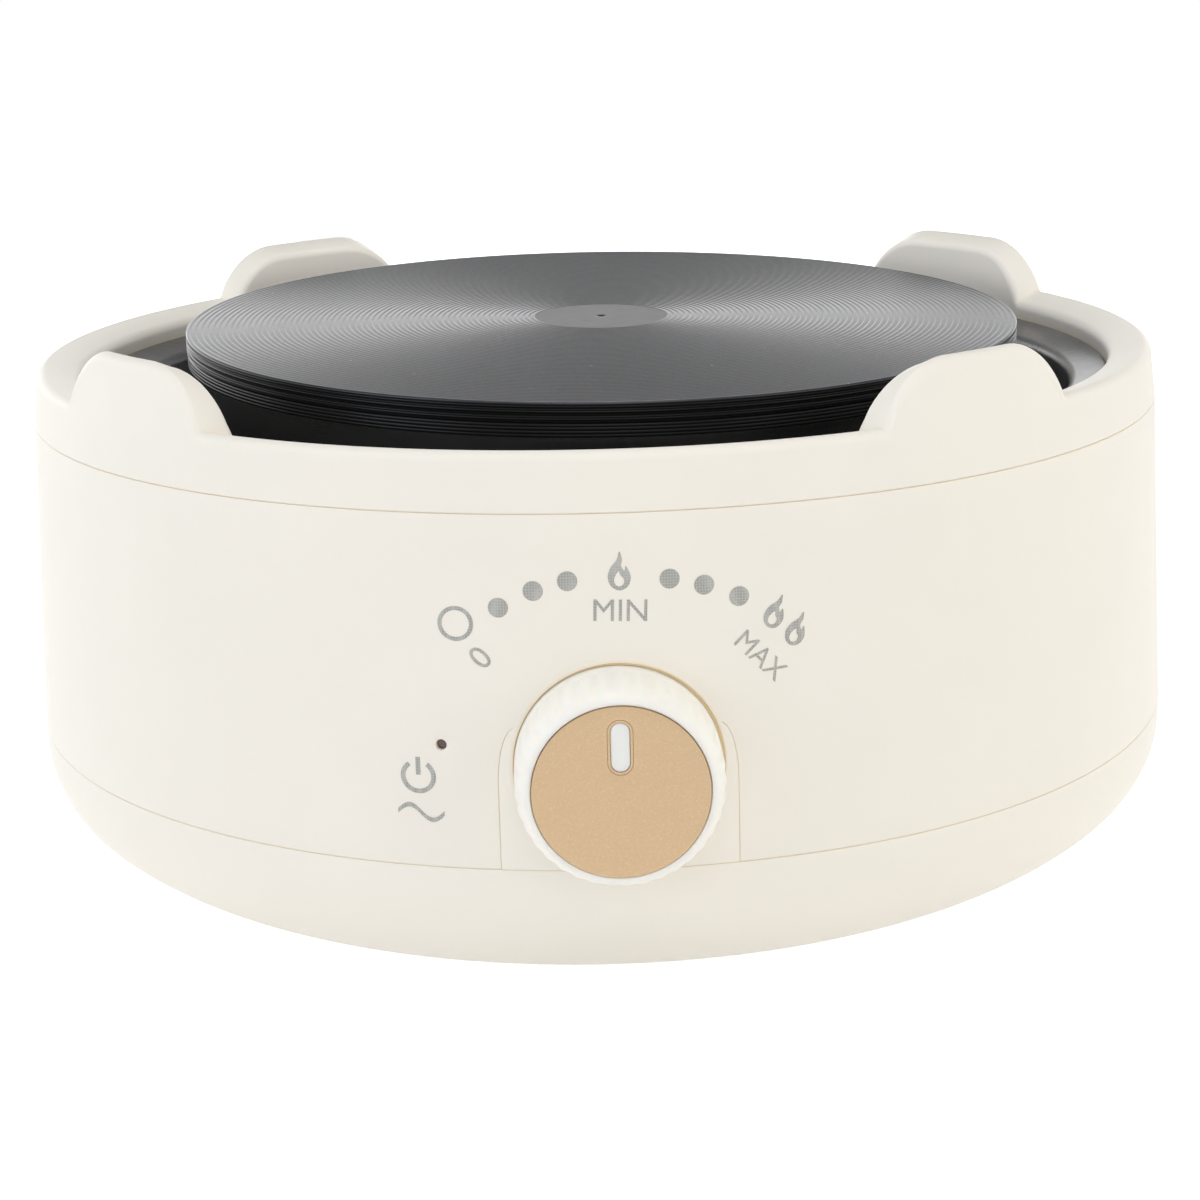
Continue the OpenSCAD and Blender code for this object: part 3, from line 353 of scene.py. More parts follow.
def noise(tree, scale, detail=3.0, roughness=0.5, stretch=None):
    """A noise texture in the object's own space, in features per metre."""
    coordinates = place_texture(tree)
    node = new_node(tree, "TexNoise", {"Scale": scale, "Detail": detail, "Roughness": roughness})
    if stretch:
        mapping = new_node(tree, "Mapping", {"Scale": stretch})
        link(tree, coordinates, "Object", mapping, "Vector")
        link(tree, mapping, "Vector", node, "Vector")
    else:
        link(tree, coordinates, "Object", node, "Vector")
    return node


def ramp(tree, source, out, low, high, first, last):
    """Maps a texture's value from low to high onto two colours."""
    node = new_node(tree, "ValToRGB")
    node.color_ramp.elements[0].position = low
    node.color_ramp.elements[0].color = first
    node.color_ramp.elements[1].position = high
    node.color_ramp.elements[1].color = last
    link(tree, source, out, node, "Fac")
    return node


def spread(tree, source, out, low, high):
    """Maps a texture's value onto a range."""
    node = new_node(tree, "MapRange", {"To Min": low, "To Max": high})
    link(tree, source, out, node, "Value")
    return node


def bump(tree, shader, source, out, strength, distance):
    node = new_node(tree, "Bump", {"Strength": strength, "Distance": distance})
    link(tree, source, out, node, "Height")
    link(tree, node, "Normal", shader, "Normal")


def tone(colour, factor):
    return tuple(min(1.0, c * factor) for c in colour) + (1.0,)


def surface(name, colour, rough, grain, metallic=0.0, mottle=0.03, grain_depth=0.00002, sheen=0.5, coat=0.0,
            soft=0.0, stretch=None):
    """A surface with a faint mottle in its colour, uneven gloss and a fine grain."""
    material, tree, shader = new_material(name)
    cloud = noise(tree, 60.0, 4.0)
    colours = ramp(tree, cloud, "Fac", 0.3, 0.7, tone(colour, 1 - mottle), tone(colour, 1 + mottle))
    link(tree, colours, "Color", shader, "Base Color")
    fine = noise(tree, grain, 2.0, 0.6, stretch)
    gloss = spread(tree, fine, "Fac", rough * 0.85, min(1.0, rough * 1.15))
    link(tree, gloss, "Result", shader, "Roughness")
    bump(tree, shader, fine, "Fac", 0.25, grain_depth)
    set_inputs(shader, {"Metallic": metallic, "Specular IOR Level": sheen})
    set_inputs(shader, {"Coat Weight": coat, "Coat Roughness": COAT_ROUGH})
    if soft:
        set_inputs(shader, {"Subsurface Weight": soft, "Subsurface Scale": SOFT_SCALE})
        set_inputs(shader, {"Subsurface Radius": SOFT_RADIUS})
    return material


cream = surface("cream", (0.86, 0.825, 0.75), 0.48, 2600.0, mottle=0.008, grain_depth=0.000015, sheen=0.3)
# tan colour painted as the warm shade seen deep in the knob hole's gap
gap_shade_tan = surface("gap_shade_tan", (0.72, 0.55, 0.3), 0.5, 2600.0, mottle=0.02, grain_depth=0.000015)
white = surface("white", (0.905, 0.872, 0.81), 0.4, 2600.0, mottle=0.005, grain_depth=0.00001, soft=0.6)
enamel = surface("enamel", (0.11, 0.11, 0.112), 0.3, 900.0, mottle=0.3, grain_depth=0.0003, sheen=1.0)
pan_black = surface("pan_black", (0.03, 0.029, 0.028), 0.15, 900.0, mottle=0.2, sheen=0.9)
edge_black = surface("edge_black", (0.007, 0.007, 0.0075), 0.3, 900.0, mottle=0.1, sheen=0.22)
plate_coat = surface("plate_coat", (0.009, 0.0095, 0.0115), 0.33, 1400.0, mottle=0.12,
                     grain_depth=0.000026, sheen=0.72)
plate_scratched = surface("plate_scratched", (0.022, 0.022, 0.024), 0.42, 500.0, mottle=0.25,
                          grain_depth=0.00006, sheen=0.6, stretch=(1, 5, 1))


def paint_crease_shade(material, colour, reach):
    """Painted warm shade in seams and corners, standing in for the light that comes from near faces of the
    same plastic.
    """
    tree = material.node_tree
    shader = tree.nodes["Principled BSDF"]
    open_colour = shader.inputs["Base Color"].links[0].from_node
    near = new_node(tree, "AmbientOcclusion", {"Distance": reach})
    blend = new_node(tree, "MixRGB", {"Color1": colour + (1.0,)})
    link(tree, near, "AO", blend, "Fac")
    link(tree, open_colour, "Color", blend, "Color2")
    link(tree, blend, "Color", shader, "Base Color")


# painted shade: the cream turns warmer within 1.1 mm of a near face, in seams and corners
paint_crease_shade(cream, (0.86, 0.735, 0.52), 0.0011)


def add_specks(material):
    """A few pale specks of dust."""
    tree = material.node_tree
    shader = tree.nodes["Principled BSDF"]
    cells = new_node(tree, "TexVoronoi", {"Scale": 110.0})
    cells.voronoi_dimensions = "2D"
    link(tree, place_texture(tree), "Object", cells, "Vector")
    near = ramp(tree, cells, "Distance", 0.012, 0.02, (1, 1, 1, 1), (0, 0, 0, 1))
    apart = new_node(tree, "SeparateColor")
    link(tree, cells, "Color", apart, "Color")
    chosen = ramp(tree, apart, "Red", 0.78, 0.82, (0, 0, 0, 1), (0.5, 0.5, 0.5, 1))
    both = new_node(tree, "Math")
    both.operation = "MULTIPLY"
    link(tree, near, "Color", both, 0)
    link(tree, chosen, "Color", both, 1)
    mix = new_node(tree, "MixRGB", {"Color2": (0.6, 0.6, 0.58, 1)})
    under = shader.inputs["Base Color"].links[0].from_node
    link(tree, under, "Color", mix, "Color1")
    link(tree, both, "Value", mix, "Fac")
    link(tree, mix, "Color", shader, "Base Color")


add_specks(plate_coat)
for coat in (plate_coat, plate_scratched):
    coat.node_tree.nodes["Principled BSDF"].inputs["Specular Tint"].default_value = (0.9, 0.94, 1.0, 1)


def flake_gold():
    """Satin gold lacquer with fine sparkling flakes."""
    material, tree, shader = new_material("gold")
    flakes = new_node(tree, "TexVoronoi", {"Scale": 7000.0})
    link(tree, place_texture(tree), "Object", flakes, "Vector")
    apart = new_node(tree, "SeparateColor")
    link(tree, flakes, "Color", apart, "Color")
    colours = ramp(tree, apart, "Red", 0.0, 1.0, (0.54, 0.382, 0.224, 1), (0.622, 0.46, 0.283, 1))
    colours.color_ramp.elements.new(0.9).color = (0.575, 0.413, 0.246, 1)
    link(tree, colours, "Color", shader, "Base Color")
    gloss = spread(tree, apart, "Green", 0.38, 0.52)
    link(tree, gloss, "Result", shader, "Roughness")
    bump(tree, shader, apart, "Blue", 0.2, 0.00003)
    shader.inputs["Metallic"].default_value = 0.4
    return material


gold = flake_gold()
rubber = surface("rubber", (0.02, 0.02, 0.021), 0.7, 1500.0, mottle=0.12, grain_depth=0.00008)
steel = surface("steel", (0.55, 0.56, 0.57), 0.34, 700.0, metallic=1.0, mottle=0.06, stretch=(1, 1, 12))
sheath = surface("sheath", (0.16, 0.14, 0.13), 0.5, 900.0, metallic=0.9, mottle=0.2)
fibre = surface("fibre", (0.68, 0.65, 0.56), 0.95, 2200.0, mottle=0.12, grain_depth=0.0003)
ceramic = surface("ceramic", (0.78, 0.75, 0.67), 0.55, 1800.0, mottle=0.05, grain_depth=0.00004)
brass = surface("brass", (0.65, 0.45, 0.16), 0.3, 900.0, metallic=1.0, mottle=0.08)
lens_glass = surface("lens_glass", (0.06, 0.012, 0.006), 0.12, 900.0, mottle=0.1, coat=0.5)
lamp_glass = surface("lamp_glass", (0.75, 0.35, 0.2), 0.1, 900.0, mottle=0.05, coat=0.5)
dark_plastic = surface("dark_plastic", (0.03, 0.03, 0.03), 0.5, 1500.0, mottle=0.1)
sleeve_colours = {
    "live_sleeve": (0.12, 0.045, 0.015),
    "switched_sleeve": (0.42, 0.02, 0.015),
    "neutral_sleeve": (0.02, 0.05, 0.35),
    "earth_sleeve": (0.14, 0.32, 0.02),
    "lead_sleeve": (0.01, 0.01, 0.01),
}
sleeves = {name: surface(name, colour, 0.45, 1500.0, mottle=0.08) for name, colour in sleeve_colours.items()}
slot_materials = {
    "cream_plastic": cream,
    "white_plastic": white,
    "gold_cap": gold,
    "black_enamel": enamel,
    "cast_plate": plate_coat,
    "element_sheath": sheath,
    "mineral_fibre": fibre,
    "zinc_steel": steel,
    "white_ceramic": ceramic,
    "brass_parts": brass,
    "foot_rubber": rubber,
    "lens_red": lens_glass,
    "lamp_glass": lamp_glass,
    "dark_plastic": dark_plastic,
    **sleeves,
}


def ink():
    """Grey print, broken up by a fine screen of dots."""
    material, tree, shader = new_material("ink")
    dots = new_node(tree, "TexVoronoi", {"Scale": 2600.0, "Randomness": 0.15})
    link(tree, place_texture(tree), "Object", dots, "Vector")
    colours = ramp(tree, dots, "Distance", 0.25, 0.65, (0.31, 0.31, 0.295, 1), (0.47, 0.465, 0.44, 1))
    link(tree, colours, "Color", shader, "Base Color")
    shader.inputs["Roughness"].default_value = 0.5
    return material


ink_grey = ink()

# CAD nodes that stay as they are: smooth shading and a material each
for row in frame["record"]["subparts"]:
    node = frame["nodes"][row["node"]]
    node.data.materials.clear()
    node.data.materials.append(slot_materials[row["material_slot"]])
    node.data.shade_smooth()
    node.data.set_sharp_from_angle(angle=math.radians(32))


# Top ring with its four ears

EAR_H = 8.6
EAR_ARC = 12.0
EAR_TURNS = (36.0, 127.0, 217.6, 309.7)
EAR_HALVES = (17.3, 19.1, 18.6, 17.0)
EAR_SPAN = 22.0
TOP_FALL = 1.2
EAR_TOP_R = 88.7
RIM_OUTER_R = 90.2
RIM_ROUND = 1.6
RIM_INNER_ROUND = 1.6
EAR_ROUND = 1.5
EAR_FOOT = 0.9
MID_R = 86.8
LEDGE_R = 80.9
LEDGE_ROUND = 0.6
LEDGE_T = 2.2
LEDGE_FOOT = 4.7
SKIRT_R = 88.45
SKIRT_T = 2.2
SKIRT_H = 4.0


def ear_rise(x, half):
    """Height of an ear's outline over the rim, at a distance from the ear's middle."""
    drop = EAR_ARC - EAR_H
    flat = half - math.sqrt(EAR_ARC ** 2 - drop ** 2)
    over = abs(x) - flat
    if over <= 0:
        rise = EAR_H
    elif over < EAR_ARC * 0.985:
        rise = EAR_H - EAR_ARC + math.sqrt(EAR_ARC ** 2 - over ** 2)
    else:
        rise = -EAR_ARC
    blend = max(EAR_FOOT - abs(rise), 0.0) / EAR_FOOT
    return max(rise, 0.0) + EAR_FOOT * blend * blend / 4


def ring_wall(z):
    """Outer radius of the ring and the ears at a height."""
    if z < Z_RIM - RIM_ROUND:
        return lerp(BODY_TOP_R, RIM_OUTER_R, (z - Z_TOP) / (Z_RIM - RIM_ROUND - Z_TOP))
    return lerp(RIM_OUTER_R, EAR_TOP_R, (z - Z_RIM + RIM_ROUND) / (EAR_H + RIM_ROUND - EAR_ROUND))


def ring_section(rise, slope):
    """Closed section of the ring where its top is at a rise over the rim, on a slope along the rim."""
    top = Z_RIM + rise
    share = smooth_step(rise / 3.0)
    lean = min(math.sqrt(1 + slope * slope), 2.4)
    outer_round = lerp(RIM_ROUND, EAR_ROUND, share)
    inner_round = lerp(RIM_INNER_ROUND, EAR_ROUND, share)
    z_outer = top - min(outer_round * lean, rise * 0.6 + RIM_ROUND)
    inner_top = top - TOP_FALL
    z_inner = inner_top - min(inner_round * lean, rise * 0.6 + RIM_INNER_ROUND)
    wall = ring_wall(z_outer)
    z_start = Z_TOP + 2 * SEAM_BEVEL
    points = [(SKIRT_R - SKIRT_T, Z_TOP - SKIRT_H), (SKIRT_R, Z_TOP - SKIRT_H), (SKIRT_R, Z_TOP + SEAM_GAP)]
    points += arc((BODY_TOP_R - SEAM_BEVEL - 0.03, Z_TOP + SEAM_GAP + SEAM_BEVEL), SEAM_BEVEL, -90, 0, 4)
    points += [(ring_wall(z), z) for z in np.linspace(z_start, z_outer, 9)]
    points += arc((wall - outer_round, z_outer), (outer_round, top - z_outer), 8, 84, 9)
    points += arc((RIM_INNER_R + inner_round, z_inner), (inner_round, inner_top - z_inner), 98, 180, 9)
    points += [(RIM_INNER_R, lerp(z_inner, Z_LEDGE + LEDGE_ROUND, t)) for t in (0.25, 0.5, 0.75, 1.0)]
    points += arc((RIM_INNER_R - LEDGE_ROUND, Z_LEDGE + LEDGE_ROUND), LEDGE_ROUND, 0, -90, 4)
    points += [(LEDGE_R, Z_LEDGE), (LEDGE_R, Z_LEDGE - LEDGE_T), (SKIRT_R - SKIRT_T, Z_LEDGE - LEDGE_FOOT)]
    return points


def spaced(turn, before, after):
    """Angle from an ear's middle, stretched beyond the ear to meet the part of the next ear."""
    gap = after if turn > 0 else before
    over = max(abs(turn) - EAR_SPAN, 0.0)
    angle = min(abs(turn), EAR_SPAN) + over * (gap / 2 - EAR_SPAN) / (45 - EAR_SPAN)
    return math.copysign(angle, turn)


def build_top_ring():
    builder = Builder()
    coarse = [round(float(t), 2) for t in np.arange(-45, 45, 1.0)]
    fine = [round(float(side * t), 2) for side in (-1, 1) for t in np.arange(4, 16.01, 0.2)]
    turns = sorted(set(coarse + fine))
    rows = []
    for k in range(4):
        middle = math.radians(EAR_TURNS[k])
        before = (EAR_TURNS[k] - EAR_TURNS[k - 1]) % 360
        after = (EAR_TURNS[(k + 1) % 4] - EAR_TURNS[k]) % 360
        for turn in turns:
            u = math.radians(turn)
            along = math.radians(spaced(turn, before, after))
            x = MID_R * math.sin(u)
            share = 1 - smooth_step((abs(turn) - 17) / 14)
            half = EAR_HALVES[k]
            slope = (ear_rise(x + 0.1, half) - ear_rise(x - 0.1, half)) / 0.2
            row = []
            for r, z in ring_section(ear_rise(x, half), slope):
                a = middle + along + share * (math.asin(x / r) - u)
                row.append((r * math.sin(a), -r * math.cos(a), z))
            rows.append(row)
    builder.rows(rows, closed=True, loop=True)
    builder.make("top_ring_form", cream, ["top_ring"])


build_top_ring()


# Main shell, with openings for the panel, the lamp and the gland

def notch(grow, z_end):
    """Outline of the notch round the knob, grown by a margin, from its right foot to its left foot."""
    half = PANEL_R + grow
    hole = HOLE_R + grow
    rise = HORN_RISE + grow
    start = math.degrees(math.asin(rise / hole))
    top = Z_KNOB + rise
    tip = hole * math.cos(math.radians(start))
    side = [(half, float(z)) for z in np.linspace(z_end, top - HORN_BEND, 9)[:-1]]
    bend = arc((tip, top - HORN_BEND), (half - tip, HORN_BEND), 0, 90, 8)[:-1]
    over = arc((0, Z_KNOB), hole, start, 180 - start, 64)
    right = side + bend
    return right + over + [(-x, z) for x, z in reversed(right)]


GLAND_NECK_R = 5.9
GLAND_POINTS = 48
LAMP_POINTS = 32


def build_main_shell():
    """The outer skin is laid out flat as (angle, height), filled, and bent round the body."""
    builder = Builder()
    z0 = Z_LOW + SEAM_BEVEL
    z1 = Z_TOP - SEAM_BEVEL
    back = math.pi * 1.5
    top = [(float(t), z1) for t in np.linspace(back, -math.pi / 2, 241)]
    left = [(-math.pi / 2, float(z)) for z in np.linspace(z1, z0, 9)[1:-1]]
    right = [(back, float(z)) for z in np.linspace(z0, z1, 9)[1:-1]]

    def low_edge(share):
        """The bottom edge and the notch's edge as one line, at a share of the bevel's width."""
        z = z0 if share == 1.0 else Z_LOW + SEAM_GAP + share * SEAM_BEVEL
        reach = front_turn(PANEL_R + share * SEAM_BEVEL, z)
        line = [(float(t), z) for t in np.linspace(-math.pi / 2, -reach, 60)[:-1]]
        line += [(front_turn(x, h), h) for x, h in reversed(notch(share * SEAM_BEVEL, z))]
        return line + [(float(t), z) for t in np.linspace(reach, back, 180)[1:]]

    outline = low_edge(1.0) + right + top + left
    outline = [p for k, p in enumerate(outline) if math.dist(p, outline[k - 1]) > 1e-6]

    def ring_at(radius, centre_turn, z, count):
        r = shell_radius(z)
        return [(centre_turn + x / r, z + y) for x, y in circle((0, 0), radius, count, True)]

    lamp_rows = [(LAMP_HOLE_R + 0.15, 0.0), (LAMP_HOLE_R + 0.05, 0.04), (LAMP_HOLE_R, 0.15)]
    lamp_rows.append((LAMP_HOLE_R, WALL))
    gland_rows = [(GLAND_NECK_R + 0.3, 0.0), (GLAND_NECK_R + 0.15, 0.15), (GLAND_NECK_R + 0.15, WALL)]
    lamp_ring = ring_at(lamp_rows[0][0], LAMP_TURN, Z_LAMP, LAMP_POINTS)
    gland_ring = ring_at(gland_rows[0][0], math.pi, Z_GLAND, GLAND_POINTS)
    rolled = [[(t * BODY_TOP_R, z) for t, z in loop] for loop in (outline, lamp_ring, gland_ring)]
    flat, triangles = fill(rolled[0], rolled[1:], (2.4, 4.0))
    flat = [(s / BODY_TOP_R, z) for s, z in flat]
    for depth in (0.0, WALL):
        row = builder.add([shell_point(t, z, depth) for t, z in flat])
        builder.faces += [tuple(row[i] for i in face) for face in triangles]
    openings = ((lamp_rows, LAMP_TURN, Z_LAMP, LAMP_POINTS),
                (gland_rows, math.pi, Z_GLAND, GLAND_POINTS))
    for rows, turn, z, count in openings:
        rings = [[shell_point(t, h, depth) for t, h in ring_at(r, turn, z, count)] for r, depth in rows]
        rings.append([shell_point(t, h, WALL) for t, h in ring_at(rows[0][0], turn, z, count)])
        builder.rows(rings)
    bevel = ((1.0, 0.0),) + ROUND_EDGE
    rows = []
    for share, depth in bevel:
        rows.append([shell_point(t, Z_TOP - share * SEAM_BEVEL, depth * SEAM_BEVEL) for t, _ in top])
    rows.append([shell_point(t, Z_TOP, WALL) for t, _ in top])
    rows.append([shell_point(t, z1, WALL) for t, _ in top])
    builder.rows(rows, closed=False)
    rows = [[shell_point(t, z, depth * SEAM_BEVEL) for t, z in low_edge(share)] for share, depth in bevel]
    rows.append([shell_point(t, z, WALL) for t, z in low_edge(0.0)])
    rows.append([shell_point(t, z, WALL) for t, z in low_edge(1.0)])
    builder.rows(rows, closed=False)
    builder.make("main_shell_form", cream, ["main_shell"], merge=0.004)


build_main_shell()


# Panel with two horns beside the knob

def build_panel():
    builder = Builder()
    z_foot = Z_LOW + SEAM_GAP
    outer_r = PANEL_R - PANEL_GAP
    z_horn = Z_KNOB + HORN_RISE - PANEL_GAP
    reach = math.sqrt(HOLE_R ** 2 - (Z_KNOB - z_foot) ** 2)
    low = math.degrees(math.atan2(z_foot - Z_KNOB, reach))
    high = math.degrees(math.asin((z_horn - Z_KNOB) / HOLE_R))
    tip = HOLE_R * math.cos(math.radians(high))
    foot = [(float(x), z_foot) for x in np.linspace(reach, outer_r, 10)[1:]]
    side = [(outer_r, float(z)) for z in np.linspace(z_foot, z_horn - HORN_BEND, 16)[1:-1]]
    bend = arc((tip + 0.02, z_horn - HORN_BEND), (outer_r - tip - 0.02, HORN_BEND), 0, 84, 10)
    loop = foot + side + bend + arc((0, Z_KNOB), HOLE_R, high - 2, low, 48)

    for outline in (loop, [(-x, z) for x, z in reversed(loop)]):
        sheet(builder, outline, [], (1.5, 1.5), front_point, PANEL_T, PANEL_BEVEL)
    builder.make("knob_panel_form", cream, ["knob_panel"])


def build_hole_lip():
    """Flush lip of the hole, and a step in its gap, close round the knob's skirt; the step is painted tan as
    the warm shade in the gap.
    """
    outer_r = HOLE_R - 0.02
    section = ((HOLE_R + 0.3, 0.06, 0), (HOLE_R + 0.28, -0.012, 0), (HOLE_R + 0.2, -0.02, 0),
               (HOLE_LIP_R + 0.16, -0.02, 1), (HOLE_LIP_R + 0.04, 0.03, 1), (HOLE_LIP_R, 0.12, 1),
               (HOLE_LIP_R, 0.6, 1), (outer_r, 0.6, 0))
    step = ((outer_r, 0.7, 0), (HOLE_LIP_R + 0.05, 0.2, 1), (HOLE_STEP_R, 0.2, 0),
            (HOLE_STEP_R, 2.2, 0), (outer_r, 2.2, 0))
    for name, material, corners in (("hole_lip", cream, section), ("hole_step", gap_shade_tan, step)):
        builder = Builder()
        rows = []
        for r, depth, shifted in corners:
            centre = (shifted * HOLE_LIP_SHIFT[0], Z_KNOB + shifted * HOLE_LIP_SHIFT[1])
            loop = [(x, max(z, Z_LOW + 0.05)) for x, z in circle(centre, r, 240)]
            rows.append([front_point(x, z, depth) for x, z in loop])
        builder.rows(rows, loop=True)
        builder.make(name, material, sharp=60)


build_panel()
build_hole_lip()


# Base pan

BASE_CORNER_H = 18.8
BASE_SIDE_R = 15.0
FOOT_POS_R = 58.0
FOOT_HOLE_R = 7.15
VENT_FROM = 22.0
VENT_TO = 42.0
VENT_R = 2.0
VENTS = 8
BODY_SEGMENTS = 256


def base_side(drop):
    """Side of the base from its flat bottom up to its seam, at a depth under its surface."""
    width = BODY_LOW_R - BASE_FLAT_R
    reach = width - BASE_SIDE_R
    low_r = (BASE_CORNER_H ** 2 + reach ** 2 - BASE_SIDE_R ** 2) / (2 * (BASE_CORNER_H - BASE_SIDE_R))
    blend = math.degrees(math.atan2(BASE_CORNER_H - low_r, reach))
    points = arc((BASE_FLAT_R, Z_BASE + low_r), low_r - drop, -90, blend, 28)
    centre = (BODY_LOW_R - BASE_SIDE_R, Z_BASE + BASE_CORNER_H)
    return points + arc(centre, BASE_SIDE_R - drop, blend, 0, 20)[1:]


def slot_loop(start, end, radius, turn):
    """Outline of a slot along a radius, with its material outside."""
    points = arc((end, 0), radius, 90, -90, 10) + arc((start, 0), radius, -90, -270, 10)
    c = math.cos(turn)
    s = math.sin(turn)
    return [(x * c - y * s, x * s + y * c) for x, y in points]


def build_base():
    builder = Builder()
    profile = base_side(0.0) + [(BODY_LOW_R, Z_LOW - SEAM_BEVEL)]
    profile += arc((BODY_LOW_R - SEAM_BEVEL, Z_LOW - SEAM_BEVEL), SEAM_BEVEL, 15, 90, 4)
    profile += [(BODY_LOW_R - WALL, Z_LOW), (BODY_LOW_R - WALL, Z_LOW - 3)]
    profile += list(reversed(base_side(WALL)))
    builder.lathe(profile, BODY_SEGMENTS)
    edge = [(BASE_FLAT_R * math.sin(t), -BASE_FLAT_R * math.cos(t)) for t in full_turn(BODY_SEGMENTS)]
    holes = [slot_loop(VENT_FROM, VENT_TO, VENT_R, 2 * math.pi * (k + 0.5) / VENTS) for k in range(VENTS)]
    for k in range(4):
        turn = math.radians(45 + 90 * k)
        centre = (FOOT_POS_R * math.sin(turn), -FOOT_POS_R * math.cos(turn))
        holes.append(circle(centre, FOOT_HOLE_R, 48, True))
    flat, triangles = fill(edge, holes, (6.0, 6.0))
    low = builder.add([(x, y, Z_BASE) for x, y in flat])
    high = builder.add([(x, y, Z_BASE + WALL) for x, y in flat])
    for a, b, c in triangles:
        builder.faces.append((low[c], low[b], low[a]))
        builder.faces.append((high[a], high[b], high[c]))
    start = len(edge)
    for hole in holes:
        builder.strip(low[start:start + len(hole)], high[start:start + len(hole)])
        start += len(hole)
    builder.make("base_form", cream, ["base_pan"], sharp=40, merge=0.004)


build_base()


# Bowl under the plate

BOWL_R = 75.6
BOWL_FLOOR = 60.5
BOWL_SHEET = 0.8
BOWL_FLANGE_R = 83.38
BOWL_FLANGE_W = 4.2
BOWL_FLANGE_FALL = 1.2
BOWL_FLANGE_LIFT = 0.5
BOWL_FLANGE_ROUND = 0.4
BOWL_FLOOR_ROUND = 3.0
BOWL_SHOULDER = 1.8


def build_bowl():
    builder = Builder()
    flange_z = Z_LEDGE + BOWL_SHEET + BOWL_FLANGE_LIFT
    flange_edge = (BOWL_FLANGE_R - BOWL_FLANGE_ROUND, flange_z - BOWL_FLANGE_ROUND)
    centre = (BOWL_FLANGE_R - BOWL_FLANGE_W, flange_z - BOWL_FLANGE_FALL - BOWL_SHOULDER)
    low_centre = (BOWL_R - BOWL_FLOOR_ROUND, BOWL_FLOOR + BOWL_FLOOR_ROUND)
    profile = [(0, BOWL_FLOOR - BOWL_SHEET)]
    profile += arc(low_centre, BOWL_FLOOR_ROUND + BOWL_SHEET, -90, 0, 10)
    profile += arc(centre, BOWL_SHOULDER - BOWL_SHEET, 180, 100, 16)
    profile += arc(flange_edge, BOWL_FLANGE_ROUND, -80, 100, 8)
    profile += arc(centre, BOWL_SHOULDER, 100, 180, 20)
    profile += arc(low_centre, BOWL_FLOOR_ROUND, 0, -90, 10)
    profile += [(0, BOWL_FLOOR)]
    builder.lathe(profile, BODY_SEGMENTS)
    builder.make("drip_bowl_form", enamel, ["drip_bowl"])


build_bowl()


# Cast plate with its turned grooves

PLATE_SEGMENTS = 384
PLATE_R = 67.7
PLATE_ROUND = 0.3
RECESS_R = 10.9
RECESS_D = 0.05
RECESS_EDGE = 0.2
GROOVE_PITCH = 0.95
GROOVE_D = 0.07
GROOVE = ((0.1, 0.1), (0.38, 0.52), (0.64, 0.94), (0.71, 1.0), (0.78, 0.92), (0.93, 0.1), (1.0, 0.0))
EDGE_H = 3.0
EDGE_GROOVES = 7
EDGE_GROOVE_D = 0.2
EDGE_GROOVE = ((0.25, 0.0), (0.45, 0.6), (0.62, 1.0), (0.8, 0.6), (0.98, 0.0))
LIP_H = 2.1
LIP_INSET = 0.08
LIP_ROUND = 0.35
LIP_GROOVE_D = 0.5
LIP_GROOVE = ((0.0, 0.0), (0.05, 0.05), (0.0, 0.1))
BOSS_INSET = 3.3
PLATE_T = 10.0
LIP_GROOVES = 4
PLATE_LEAN_FRONT = 1.3
PLATE_LEAN_SIDE = 0.6
PLATE_SHIFT = (1.4, 0.0, 0.0)


def plate_place():
    """The plate sits a little askew on its stud."""
    front = Matrix.Rotation(math.radians(PLATE_LEAN_FRONT), 4, "X")
    side = Matrix.Rotation(math.radians(PLATE_LEAN_SIDE), 4, "Y")
    middle = Vector((0, 0, Z_PLATE))
    return Matrix.Translation(middle + Vector(PLATE_SHIFT)) @ (front @ side) @ Matrix.Translation(-middle)


def turned_on_plate(name, profile, segments, material, replaces=(), sharp=60, merge=0.0):
    """A piece turned about Z that leans with the plate."""
    builder = Builder()
    builder.lathe(profile, segments)
    builder.move(plate_place())
    builder.make(name, material, replaces, sharp=sharp, merge=merge)


def build_plate():
    """The grooved top of the plate."""
    profile = [(RECESS_R, Z_PLATE - RECESS_D), (RECESS_R + RECESS_EDGE / 2, Z_PLATE - RECESS_D / 2)]
    profile += [(RECESS_R + RECESS_EDGE, Z_PLATE)]
    grooves = int((PLATE_R - RECESS_R - 2 * RECESS_EDGE) / GROOVE_PITCH)
    for k in range(grooves):
        r = RECESS_R + RECESS_EDGE + k * GROOVE_PITCH
        profile += [(r + share * GROOVE_PITCH, Z_PLATE - drop * GROOVE_D) for share, drop in GROOVE]
    profile += arc((PLATE_R - PLATE_ROUND, Z_PLATE - PLATE_ROUND), PLATE_ROUND, 80, 10, 5)
    profile += [(PLATE_R - 0.4, Z_PLATE - 0.4), (RECESS_R, Z_PLATE - 1)]
    turned_on_plate("plate_form", profile, PLATE_SEGMENTS, plate_coat, ["heating_plate"])


